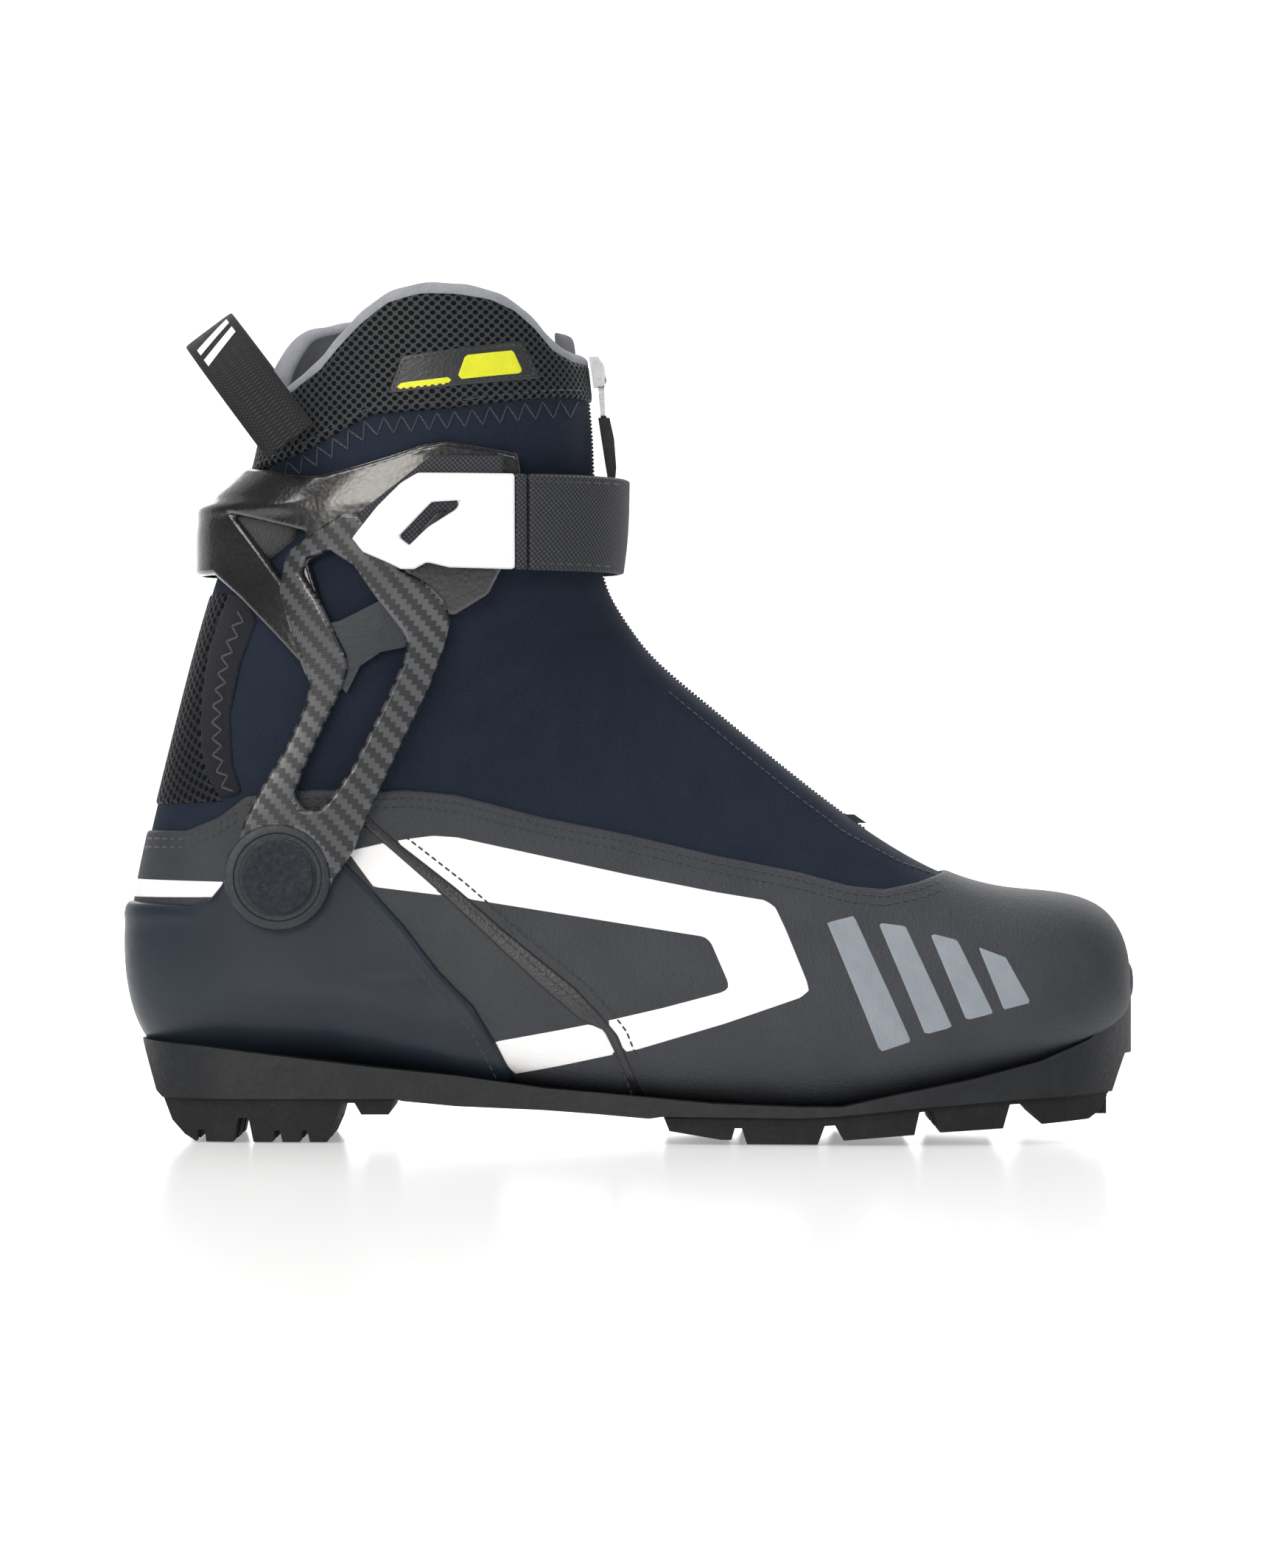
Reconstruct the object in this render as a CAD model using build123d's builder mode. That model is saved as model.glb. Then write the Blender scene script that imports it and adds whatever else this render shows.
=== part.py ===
"""Right-foot cross country skate boot, in millimetres.

+X points to the toe, +Y to the inner (medial) side and +Z up. The origin lies on the ground, under the
middle of the boot. Soft layers are cut from one lofted boot form, each between two insets of it, and the
hinged cuff is cut from a second form in the same way.
"""
from build123d import *
import math
import os

os.makedirs("parts", exist_ok=True)

# ---------------------------------------------------------------- driving dimensions
LATERAL, MEDIAL = -1, 1
SIDES = (LATERAL, MEDIAL)
REACH = 120.0                      # beyond every surface of the boot, for cutting prisms

PIVOT_X, PIVOT_Z = -102.0, 77.5    # axis on which the cuff turns
FRONT_FLEX = (27.0, 46.0)          # degrees round the pivot, from the toe up: the foot ends, the shaft starts
REAR_FLEX = (152.0, 161.0)         # the shaft ends, the foot starts again
HUB_R = 16.0                       # within this of the pivot everything belongs to the foot

SHELL_T = 1.4                      # outer upper and softshell
BACKING_OUT, BACKING_IN = 1.6, 2.8 # insets of the stiff inner pieces and the zip tape
LINING_OUT, LINING_IN = 3.5, 6.8   # insets of the padded fleece lining
FOOTBED_OUT = 7.1
COUNTER_T = 2.4                    # external heel counter stands this far out
BAND_T = 0.8                       # moulded midfoot band
THROAT_DROP = 6.0                  # room between softshell and lining over the instep

ARM_OUT, ARM_IN = -0.6, 1.4        # insets in the cuff form
RING_OUT, RING_IN = 1.5, 3.5
STRAP_OUT, STRAP_IN = -2.9, -0.9
PEEL_X, SWING_X = -30.0, -26.0     # where the strap's free end and its medial end bend

ZIP_SLOT = 3.2                     # half width of the slot in the softshell
TEETH_HALF = 2.7
TAPE_HALF = 11.0
TONGUE_HALF = 22.0

PIN_R, PIN_HOLE_R = 5.0, 5.05
EYE_R, CAP_R, BOSS_R = 15.6, 10.4, 14.0
EYE_IN, EYE_OUT = 38.8, 41.3       # the arm's flat eye, as distances from the middle plane
BAR_R, BAR_X, BAR_Z = 2.0, 134.0, 10.5

# ---------------------------------------------------------------- the two lofted forms
# Each station is a plane through the boot: top x, z; bottom x, z; outer and inner half width; sideways
# shift of the middle; kind of section (0 toe, 1 instep, 2 shaft); share of THROAT_DROP taken at the top.
BOOT_STATIONS = [
    (148.4, 51.5, 148.4, 41.0, 15, 15, 7.0, 0.0, 0.0),
    (146.7, 58.5, 146.7, 37.0, 25, 24, 7.0, 0.0, 0.0),
    (142.0, 66.2, 142.0, 33.5, 34, 33, 6.0, 0.0, 0.0),
    (131.0, 71.6, 131.0, 27.0, 42, 40, 4.5, 0.0, 0.0),
    (113.0, 73.7, 112.0, 20.0, 47, 46, 2.5, 0.15, 0.0),
    (93.0, 79.3, 88.0, 14.5, 49.5, 48.5, 0.5, 0.5, 0.2),
    (70.0, 92.6, 59.0, 9.4, 50, 48, 0.0, 0.8, 0.8),
    (47.0, 110.0, 28.0, 9.8, 47, 43, 0.0, 1.0, 1.0),
    (25.0, 128.0, -5.0, 12.2, 43, 39, 0.0, 1.0, 1.0),
    (9.0, 141.7, -45.0, 17.2, 39.5, 37, 0.0, 1.1, 1.0),
    (1.0, 151.5, -92.0, 22.3, 37.5, 36.5, 0.0, 1.4, 1.0),
    (-2.6, 157.0, -138.0, 27.0, 37.0, 36.5, 0.0, 1.7, 0.9),
    (-5.2, 162.0, -147.6, 56.0, 37.0, 36.8, 0.0, 1.85, 0.8),
    (-7.3, 169.0, -144.4, 83.0, 37.5, 37.3, 0.0, 1.95, 0.7),
    (-8.4, 177.5, -137.3, 113.0, 38, 38, 0.0, 2.0, 0.5),
    (-9.0, 187.0, -129.4, 144.0, 38.5, 38.5, 0.0, 2.0, 0.4),
    (-9.6, 197.5, -120.8, 172.0, 39.8, 39.8, 0.0, 2.0, 0.3),
    (-10.2, 210.0, -111.0, 200.0, 41, 41, 0.0, 2.0, 0.2),
    (-12.0, 228.0, -108.0, 224.0, 42, 42, 0.0, 2.0, 0.2),
    (-15.0, 254.0, -106.0, 254.0, 43, 43, 0.0, 2.0, 0.2),
]
NOSE_SHARE = {0: 1.0, 1: 0.8, 2: 0.5, 3: 0.2}    # how far the toe stations draw back with the inset
STEEPNESS = {0: 2.0, 1: 1.8, 2: 1.3, 3: 1.1}     # wall thickness measured across the toe's stations
# The cuff form's level stations: height, front x, back x, half width.
CUFF_STATIONS = [
    (50, -12, -172, 41.0),
    (77.5, -12, -172, 41.0),
    (100, -10, -162, 41.2),
    (125, -8, -145, 41.6),
    (150, -6, -135, 42.6),
    (167, -4.3, -130.2, 43.8),
    (176, -3.2, -130.0, 44.0),
    (187, -2.6, -128.0, 44.4),
    (200, -2.4, -117.5, 45.0),
    (214, -2.0, -109.5, 45.6),
]
# Half sections: share of the way from top (front) to bottom (back), share of the half width.
TOE = [(0.03, 0.42), (0.2, 0.8), (0.5, 0.98), (0.8, 0.98), (0.965, 0.8), (0.998, 0.45)]
INSTEP = [(0.02, 0.22), (0.14, 0.42), (0.4, 0.68), (0.75, 0.97), (0.955, 0.8), (0.998, 0.42)]
SHAFT = [(0.04, 0.42), (0.2, 0.83), (0.45, 1.0), (0.72, 0.9), (0.92, 0.55), (0.985, 0.25)]
CUFF = [(0.04, 0.44), (0.2, 0.84), (0.45, 1.0), (0.72, 0.9), (0.92, 0.53), (0.985, 0.24)]


def mixed(first, second, share):
    """A half section between two others."""
    return [
        (a[0] + (b[0] - a[0]) * share, a[1] + (b[1] - a[1]) * share)
        for a, b in zip(first, second)
    ]


def curve_points(side, start, span, half_width, shape):
    """The points of a half section, from its top to its bottom."""
    points = [(start, 0)]
    points += [(start + s * span, side * half_width * w) for s, w in shape]
    points += [(start + span, 0)]
    return points


def boot_section(k, side, inset, throat, nose_inset):
    """Plane, start, span, half width and shape of one boot station, drawn in by inset."""
    xt, zt, xb, zb, lateral, medial, shift, kind, weight = BOOT_STATIONS[k]
    nose = NOSE_SHARE.get(k, 0.0) * nose_inset
    top, bottom = Vector(xt - nose, 0, zt), Vector(xb - nose, 0, zb)
    down = (bottom - top).normalized()
    length = (bottom - top).length
    draw = min(inset, 0.4 * length)
    start = draw + throat * weight
    plane = Plane(origin=top, x_dir=down, z_dir=down.cross(Vector(0, 1, 0)))
    half_width = max(1.0, (lateral if side == LATERAL else medial) + shift * side - inset)
    shape = mixed(TOE, INSTEP, kind) if kind <= 1 else mixed(INSTEP, SHAFT, kind - 1)
    return plane, start, length - start - draw, half_width, shape


def cuff_section(k, inset):
    """Plane, start, span, half width and shape of one level station of the cuff."""
    z, front, back, half_width = CUFF_STATIONS[k]
    plane = Plane(origin=(front, 0, z), x_dir=(-1, 0, 0), z_dir=(0, 0, -1))
    return plane, inset, front - back - 2 * inset, half_width - inset, CUFF


def solid_half(sections, side):
    """A smooth solid through half sections, flat on the middle plane."""
    with BuildPart() as half:
        for plane, *measures in sections:
            points = curve_points(side, *measures)
            with BuildSketch(plane):
                with BuildLine():
                    Spline(*points, tangents=[(0, side), (0, -side)], tangent_scalars=(1, 1))
                    Line(points[-1], points[0])
                make_face()
        loft()
    return half.part


def wall_half(outer_sections, inner_sections, side):
    """A smooth wall through crescent sections, each between an outer and an inner curve."""
    with BuildPart() as half:
        for (plane, *outer), (_, *inner) in zip(outer_sections, inner_sections):
            outer_points = curve_points(side, *outer)
            inner_points = curve_points(side, *inner)
            with BuildSketch(plane):
                with BuildLine():
                    Spline(*outer_points, tangents=[(0, side), (0, -side)], tangent_scalars=(1, 1))
                    Line(outer_points[-1], inner_points[-1])
                    Spline(*inner_points[::-1], tangents=[(0, side), (0, -side)], tangent_scalars=(1, 1))
                    Line(inner_points[0], outer_points[0])
                make_face()
        loft()
    return half.part


def boot_half(side, inset, throat=0.0):
    """One side of the boot form, drawn in by inset, and by throat more over the instep."""
    stations = range(len(BOOT_STATIONS))
    return solid_half([boot_section(k, side, inset, throat, inset) for k in stations], side)


def boot_wall(side, outer, inner, throat=0.0):
    """One side of a wall of the boot between two insets, closed by a small plate at the toe."""
    stations = range(len(BOOT_STATIONS))
    outer_sections = [boot_section(k, side, outer, throat, outer) for k in stations]
    inner_sections = []
    for k in stations:
        depth = outer + (inner - outer) * STEEPNESS.get(k, 1.0)
        inner_sections.append(boot_section(k, side, depth, throat, outer))
    wall = wall_half(outer_sections, inner_sections, side)
    middle = boot_section(0, side, (outer + inner) / 2, throat, outer)
    points = curve_points(side, *middle[1:])
    with BuildPart() as closed:
        add(wall)
        with BuildSketch(middle[0].offset(-0.2)):
            with BuildLine():
                Spline(*points, tangents=[(0, side), (0, -side)], tangent_scalars=(1, 1))
                Line(points[-1], points[0])
            make_face()
        extrude(amount=outer - inner)
    return closed.part


def cuff_half(side, inset):
    """One side of the cuff form, drawn in by inset."""
    stations = range(len(CUFF_STATIONS))
    return solid_half([cuff_section(k, inset) for k in stations], side)


def cuff_wall(side, outer, inner):
    """One side of a wall of the cuff form between two insets."""
    stations = range(len(CUFF_STATIONS))
    return wall_half([cuff_section(k, outer) for k in stations], [cuff_section(k, inner) for k in stations], side)


# ---------------------------------------------------------------- cutting solids
def prism(outline, low=-REACH, high=REACH):
    """A solid with this side-view outline (x, z), from y = low to y = high."""
    with BuildPart() as body:
        with BuildSketch(Plane.XZ.offset(-high)):
            with BuildLine():
                Polyline(*outline, close=True)
            make_face()
        extrude(amount=high - low)
    return body.part


def rod(x, z, radius, low=-REACH, high=REACH):
    """A round bar along Y."""
    with BuildPart() as body:
        with BuildSketch(Plane.XZ.offset(-high)):
            with Locations((x, z)):
                Circle(radius)
        extrude(amount=high - low)
    return body.part


def plan(outline, low, high):
    """A solid with this smooth plan outline (x, y), from z = low to z = high."""
    with BuildPart() as body:
        with BuildSketch(Plane.XY.offset(low)):
            with BuildLine():
                Spline(*outline, periodic=True)
            make_face()
        extrude(amount=high - low)
    return body.part


def under(edge, floor=-20.0):
    """Everything below an edge line (x, z)."""
    return prism([*edge, (edge[-1][0], floor), (edge[0][0], floor)])


def over(edge, ceiling=300.0):
    """Everything above an edge line (x, z)."""
    return prism([*edge, (edge[-1][0], ceiling), (edge[0][0], ceiling)])


def sector(low, high, hub_radius):
    """Everything between two angles round the cuff's pivot, outside a hub."""
    outline = [(PIVOT_X, PIVOT_Z)]
    for angle in (low, (low + high) / 2, high):
        reach = 500.0
        direction = math.radians(angle)
        outline.append((PIVOT_X + reach * math.cos(direction), PIVOT_Z + reach * math.sin(direction)))
    with BuildPart() as body:
        add(prism(outline))
        add(rod(PIVOT_X, PIVOT_Z, hub_radius), mode=Mode.SUBTRACT)
    return body.part


def cut(base, keep=(), remove=()):
    """A base inside every keep and outside every remove."""
    with BuildPart() as body:
        add(base)
        for solid in keep:
            add(solid, mode=Mode.INTERSECT)
        for solid in remove:
            add(solid, mode=Mode.SUBTRACT)
    return body.part


def save(label, *pieces):
    """Write one part, joined from its pieces."""
    with BuildPart() as body:
        for piece in pieces:
            add(piece)
    body.part.label = label
    export_step(body.part, f"parts/{label}.step")
    return body.part


def save_apart(label, walls, keep=(), remove=()):
    """Write one part whose two sides only touch on the middle plane."""
    sides = [cut(walls[side], keep, remove).solids().sort_by(SortBy.VOLUME)[-1] for side in SIDES]
    part = Compound(label=label, children=[Solid(side.wrapped) for side in sides])
    export_step(part, f"parts/{label}.step")
    return part


def save_pair(label, walls, keep=(), remove=()):
    """Write one part from a wall's two sides, cut alike and joined on the middle plane."""
    return save(label, *[cut(walls[side], keep, remove) for side in SIDES])


# ---------------------------------------------------------------- side-view outlines (x, z)
FAR = 170.0
SOLE_SEAM = [
    (-FAR, 32), (-144, 29.5), (-125, 28), (-100, 25), (-75, 22), (-50, 19.5), (-25, 16), (0, 14), (25, 11.8),
    (50, 11), (62, 11), (75, 14), (100, 19), (120, 24), (135, 30), (145, 38), (149, 41.5), (FAR, 58),
]
UPPER_EDGE = [
    (-FAR, 102), (-130, 98), (-120, 97), (-112, 101), (-92, 103), (-72, 102.5), (-65, 103), (-50, 101.5),
    (-25, 95), (0, 90), (25, 84), (50, 79), (65, 75), (75, 74), (85, 76), (92, 78.5), (99, 82), (FAR, 82),
]
COLLAR_SEAM = [(-FAR, 190), (-112, 196), (-95, 202), (-75, 212), (-50, 214), (-20, 218), (60, 219)]
COLLAR_EDGE = {
    LATERAL: [
        (-FAR, 213), (-109, 213), (-90, 226), (-85, 232), (-78, 239), (-70, 245), (-60, 247.6), (-50, 247.4),
        (-40, 246), (-33, 243), (-27, 238), (-22, 232), (-16, 229), (60, 229),
    ],
    MEDIAL: [
        (-FAR, 213), (-109, 213), (-106, 228), (-100, 238), (-85, 241.5), (-70, 245), (-60, 247.6),
        (-50, 247.4), (-40, 246), (-33, 243), (-27, 238), (-22, 232), (-16, 229), (60, 229),
    ],
}
RIM = 2.4                          # the lining stands this far over the collar edge
RING_OUTLINE = [
    (-FAR, 200.5), (-115, 200), (-105, 197.5), (-98, 196), (-90, 195.5), (-80, 197.5), (-70, 200), (-60, 203),
    (-53, 204), (-40, 202), (-31, 200.5), (-30, 195), (-36, 167), (-40, 159), (-50, 153), (-58, 154),
    (-66, 166.5), (-80, 169), (-87, 173.5), (-94, 169), (-90, 157), (-86, 146), (-88, 139), (-94.5, 138),
    (-105, 149), (-115, 159), (-124, 166.5), (-FAR, 167),
]
RING_WINDOW = [(-118, 184), (-101, 163), (-95, 178)]
ARM_OUTLINE = [
    (-114.5, 84), (-112.5, 92.5), (-108, 102), (-100, 115), (-94, 128), (-93, 134), (-95, 138), (-99, 150),
    (-102, 161), (-100, 172), (-93, 177), (-87, 181), (-83, 183.5), (-78, 183.5), (-66, 166.5), (-62, 165),
    (-57, 162), (-53, 158), (-51.5, 152), (-53, 145), (-58, 132), (-65, 118), (-75, 97), (-80, 85),
    (-88, 72.5), (-100, 70), (-112, 73),
]
ARM_WINDOW = [
    (-87, 172.5), (-94, 170), (-95, 166), (-90, 158), (-86, 150), (-82, 142), (-81.5, 138), (-84, 131),
    (-88, 123), (-95, 108), (-97, 101), (-94, 97), (-90, 97), (-87, 100), (-80, 110), (-70, 130), (-65, 141),
    (-64.5, 146), (-66, 149), (-73, 158), (-80, 168),
]
ARM_WEB = [(-90, 151), (-84, 152), (-72, 158), (-62, 150), (-62, 145), (-72, 143), (-78, 139), (-82, 131), (-87, 137)]
COUNTER_OUTLINE = [
    (-FAR, 70), (-147, 70), (-128, 69), (-122, 71), (-118, 76), (-117, 84), (-110, 92), (-97, 93), (-83, 82),
    (-75, 74), (-65, 63), (-55, 50), (-45, 40), (-39, 30), (-34, 20), (-32, 10), (-FAR, 10),
]
BAND_OUTLINE = [
    (-79, 97), (-74, 94), (-50, 74), (-25, 53), (-8, 37.5), (-1, 30), (2, 22), (6, 8), (0, 8), (-2.5, 22),
    (-6, 31), (-14, 36), (-27, 47), (-55, 73), (-80, 93.5),
]
STRAP_FRONT = [(-FAR, 167), (60, 167), (60, 195), (-FAR, 195)]
TAB_OUTLINE = [
    (-80, 176), (-73, 185), (-66, 192), (-61, 195), (-25, 195), (-25, 167), (-52, 167.5), (-58.5, 169),
    (-62, 167), (-66, 167), (-70, 169), (-77, 172),
]

TONGUE_REGION = [(84, 70), (200, 70), (200, 262), (-46, 262), (-46, 190), (-40, 160), (0, 112), (60, 76)]
ZIP_REGION = [(58, 84), (200, 84), (200, 229), (-40, 229), (-40, 180), (0, 120), (40, 90)]
LAST_EDGE = [(x, z + 2.5) for x, z in SOLE_SEAM]
FOOTBED_TOP = [
    (-FAR, 37), (-125, 35.5), (-100, 33.5), (-50, 28), (0, 23), (50, 21), (75, 22.5), (100, 27), (130, 35), (FAR, 46),
]
STIFFENER_OUTLINE = [(-FAR, 60), (-126, 64), (-108, 66), (-90, 62), (-70, 50), (-58, 20), (-FAR, 20)]
SOLE_PLAN = [
    (-144.3, 0), (-140, -17), (-127, -30), (-105, -34.5), (-70, -34.5), (-30, -36), (10, -42), (50, -48.3),
    (80, -49.3), (110, -44.5), (130, -34), (143.5, -17), (149.8, 6), (146, 21), (134, 36), (112, 46),
    (85, 48.3), (50, 43.5), (10, 36.5), (-30, 34), (-70, 33.5), (-105, 34), (-127, 30), (-140, 17),
]
FRAME_BOTTOM = [
    (142.5, 14.2), (111, 12.7), (85, 10.7), (60, 8.2), (50, 7.7), (10, 7.8), (6, 7.2), (-10, 8.5), (-25, 9.5),
    (-50, 10.5), (-66, 12), (-68, 12.6), (-137, 12.6),
]
FRAME_TOE = [(150, 34), (147, 25), (145, 20.5)]
FRAME_HEEL = [(-139, 14.5), (-141, 20.7), (-144, 29.5)]
HEEL_TREAD = [
    (-136.8, 12.6), (-134, 6), (-130, 2), (-126.5, 0), (-126, 3.4), (-124, 3.4), (-123.5, 0), (-115.5, 0),
    (-114, 7), (-111, 7), (-109.5, 0), (-104, 0), (-103.2, 3.4), (-101.8, 3.4), (-101, 0), (-96, 0),
    (-95.2, 3.4), (-93.8, 3.4), (-93, 0), (-88, 0), (-86, 4.5), (-84, 11.4), (-80, 11.4), (-78, 8), (-70, 8),
    (-68.6, 11.4), (-68, 12.6),
]
FOREFOOT_TREAD = [
    (10.4, 7.5), (12, 3.6), (27, 1.2), (30, 1.2), (31, 4.6), (33, 4.6), (34.5, 0), (55, 0), (57, 5.4), (60, 5.6),
    (62.5, 1.2), (83, 2.8), (84.5, 9.4), (88.5, 9.8), (90.5, 3.5), (109, 4.5), (111, 11.4), (115, 11.6),
    (120.5, 5.5), (135, 6.5), (139, 9), (141.5, 14), (111, 12.55), (85, 10.55), (60, 8.05), (50, 7.55),
]
GROOVE_ROOF = [(-FAR, 6), (50, 5.5), (85, 8.5), (111, 10.5), (118, 11)]
BUMPER_OUTLINE = [(145.6, 25), (FAR, 25), (FAR, 44), (149, 41.5), (145.6, 38.5)]
LABEL_OUTLINE = [(-70, 218), (-26, 223), (-31, 234), (-66, 229)]
ANCHOR_OUTLINE = [(-62, 167), (SWING_X - 0.4, 167), (SWING_X - 0.4, 195), (-62, 195), (-66, 181)]


# ---------------------------------------------------------------- zones that turn with the cuff
shaft_zone = sector(FRONT_FLEX[1], REAR_FLEX[0], HUB_R + 0.5)
moving_zone = sector(FRONT_FLEX[0], REAR_FLEX[1], HUB_R)
front_flex_zone = sector(FRONT_FLEX[0] + 0.2, FRONT_FLEX[1] - 0.2, HUB_R + 0.3)
rear_flex_zone = sector(REAR_FLEX[0] + 0.2, REAR_FLEX[1] - 0.2, HUB_R + 0.3)
pin_hole = rod(PIVOT_X, PIVOT_Z, PIN_HOLE_R)
zip_slot = prism(ZIP_REGION, -ZIP_SLOT, ZIP_SLOT)
tongue_space = prism(TONGUE_REGION, -TONGUE_HALF - 0.3, TONGUE_HALF + 0.3)
below_upper_edge = under(UPPER_EDGE)
above_upper_edge = over(UPPER_EDGE)
below_collar_seam = under(COLLAR_SEAM)
above_collar_seam = over(COLLAR_SEAM)
above_sole = over(SOLE_SEAM)
above_last_edge = over(LAST_EDGE)
names = {LATERAL: "lateral", MEDIAL: "medial"}

shell = {side: boot_wall(side, 0.0, SHELL_T) for side in SIDES}
backing = {side: boot_wall(side, BACKING_OUT, BACKING_IN) for side in SIDES}
lining = {side: boot_wall(side, LINING_OUT, LINING_IN, THROAT_DROP) for side in SIDES}
counter = {side: boot_wall(side, -COUNTER_T, -0.15) for side in SIDES}
counter_outline = prism(COUNTER_OUTLINE)
foot_core = {side: boot_half(side, -0.1) for side in SIDES}
arm = {side: cuff_wall(side, ARM_OUT, ARM_IN) for side in SIDES}
ring = {side: cuff_wall(side, RING_OUT, RING_IN) for side in SIDES}
strap = {side: cuff_wall(side, STRAP_OUT, STRAP_IN) for side in SIDES}
strap_height = prism(STRAP_FRONT)
arm_outline = prism(ARM_OUTLINE)


def across(side, near, far):
    """Low and high y of a span measured outwards from the middle plane on one side."""
    return sorted((side * near, side * far))


# ---------------------------------------------------------------- upper, softshell and lining, side by side
for side in SIDES:
    name = names[side]
    save(f"upper_{name}", cut(shell[side], [below_upper_edge], [moving_zone, pin_hole]))
    save(f"softshell_foot_{name}", cut(shell[side], [above_upper_edge], [moving_zone, zip_slot]))
    save(f"softshell_flex_{name}", cut(shell[side], [front_flex_zone], [zip_slot]))
    save(f"softshell_shaft_{name}", cut(shell[side], [shaft_zone, below_collar_seam], [zip_slot]))
    save(f"collar_{name}", cut(shell[side], [above_collar_seam, under(COLLAR_EDGE[side])], [zip_slot]))
    rim_edge = [(x, z + RIM) for x, z in COLLAR_EDGE[side]]
    save(f"lining_foot_{name}", cut(lining[side], [], [moving_zone, tongue_space]))
    save(f"lining_flex_{name}", cut(lining[side], [front_flex_zone], [tongue_space]))
    save(f"lining_shaft_{name}", cut(lining[side], [shaft_zone, under(rim_edge)], [tongue_space]))
    band = boot_wall(side, -BAND_T, -0.15)
    save(f"midfoot_band_{name}", cut(band, [prism(BAND_OUTLINE), above_sole], [counter_outline, moving_zone]))
    stay = boot_wall(side, 1.7, 3.0, THROAT_DROP)
    stay_space = prism([(72, 60), (106, 60), (106, 150), (0, 170), (-40, 140), (2, 104)], *across(side, 12, 20))
    save(f"eyestay_{name}", cut(stay, [stay_space], [moving_zone]))

save_pair("softshell_heel_flex", shell, [rear_flex_zone])
save_pair("lining_heel_flex", lining, [rear_flex_zone])
tongue_block = prism(TONGUE_REGION, -TONGUE_HALF, TONGUE_HALF)
save_apart("tongue", lining, [tongue_block, under([(-FAR, 238), (FAR, 238)])])
for side in SIDES:
    tape_space = prism(ZIP_REGION, *across(side, 0.2, TAPE_HALF))
    save(f"zip_tape_{names[side]}", cut(backing[side], [tape_space]))
save_pair("lasting_board", backing, [under(LAST_EDGE)])
toe_region = prism([(116, 0), (141, 0), (141, 100), (108, 100)])
save_apart("toe_puff", backing, [toe_region, above_last_edge])
save_pair("heel_stiffener", backing, [prism(STIFFENER_OUTLINE), above_last_edge])
footbed_core = {side: boot_half(side, FOOTBED_OUT, THROAT_DROP) for side in SIDES}
save_pair("footbed", footbed_core, [under(FOOTBED_TOP)])

# ---------------------------------------------------------------- zip: teeth, stop, slider and puller
def ridge_band(outer, inner, half_width, foot, head):
    """A band along the front middle line between two depths, from one height to another."""
    outside = []
    inside = []
    for k in range(5, 20):
        xt, zt, xb, zb = BOOT_STATIONS[k][:4]
        inward = Vector(xb - xt, zb - zt).normalized()
        outside.append((xt + inward.X * outer, zt + inward.Y * outer))
        inside.append((xt + inward.X * inner, zt + inward.Y * inner))
    with BuildPart() as body:
        with BuildSketch(Plane.XZ.offset(-half_width)):
            with BuildLine():
                Spline(*outside)
                Line(outside[-1], inside[-1])
                Spline(*inside[::-1])
                Line(inside[0], outside[0])
            make_face()
        extrude(amount=2 * half_width)
        add(prism([(-60, foot), (FAR, foot), (FAR, head), (-60, head)]), mode=Mode.INTERSECT)
    return body.part


save("zip_teeth", ridge_band(-0.4, 1.4, TEETH_HALF, 96, 228.6))
save("zip_stop", ridge_band(-0.9, 1.4, TEETH_HALF + 0.3, 93, 95.6))
BAIL_X, BAIL_Z = -8.2, 224.6
with BuildPart() as slider:
    with BuildSketch(Plane.XZ.offset(-4.6)):
        with BuildLine():
            Polyline(
                (-11.7, 231.4), (-9.0, 231.4), (-7.3, 229), (-6.8, 226), (-7.0, 223.2), (-8.0, 222.6), (-10.5, 222.6),
                (-10.6, 224), close=True,
            )
        make_face()
    extrude(amount=9.2)
    with Locations((-7.6, 0, 223.6)):
        Box(5.4, 3.6, 6.2, mode=Mode.SUBTRACT)
    with Locations(Plane.XZ.offset(-3.0)):
        with Locations((BAIL_X, BAIL_Z)):
            Cylinder(0.7, 6.0, align=(Align.CENTER, Align.CENTER, Align.MIN))
save("zip_slider", slider.part)
with BuildPart() as pull_plate:
    with BuildSketch(Plane.XZ.offset(-1.5)):
        with Locations((BAIL_X, BAIL_Z)):
            Circle(1.7)
        with BuildLine():
            Polyline((-9.2, 224.2), (-7.2, 224.2), (-6.9, 214.2), (-8.3, 214.2), close=True)
        make_face()
        with Locations((BAIL_X, BAIL_Z)):
            Circle(0.85, mode=Mode.SUBTRACT)
    extrude(amount=3.0)
save("pull_plate", pull_plate.part)
with BuildPart() as pull_grip:
    with BuildSketch(Plane.XZ.offset(-2.6)):
        with BuildLine():
            Polyline(
                (-9.0, 213.4), (-5.6, 213.4), (-4.2, 207), (-3.6, 199), (-3.8, 196), (-4.6, 195.3), (-6.2, 195.5),
                (-6.8, 199), (-8.2, 208), close=True,
            )
        make_face()
    extrude(amount=5.2)
save("pull_grip", pull_grip.part)
with BuildPart() as pull_cord:
    with BuildSketch(Plane.XY.offset(213.5)):
        with Locations((-7.4, 0)):
            Circle(0.9)
    extrude(amount=0.6)
save("pull_cord", pull_cord.part)

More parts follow.
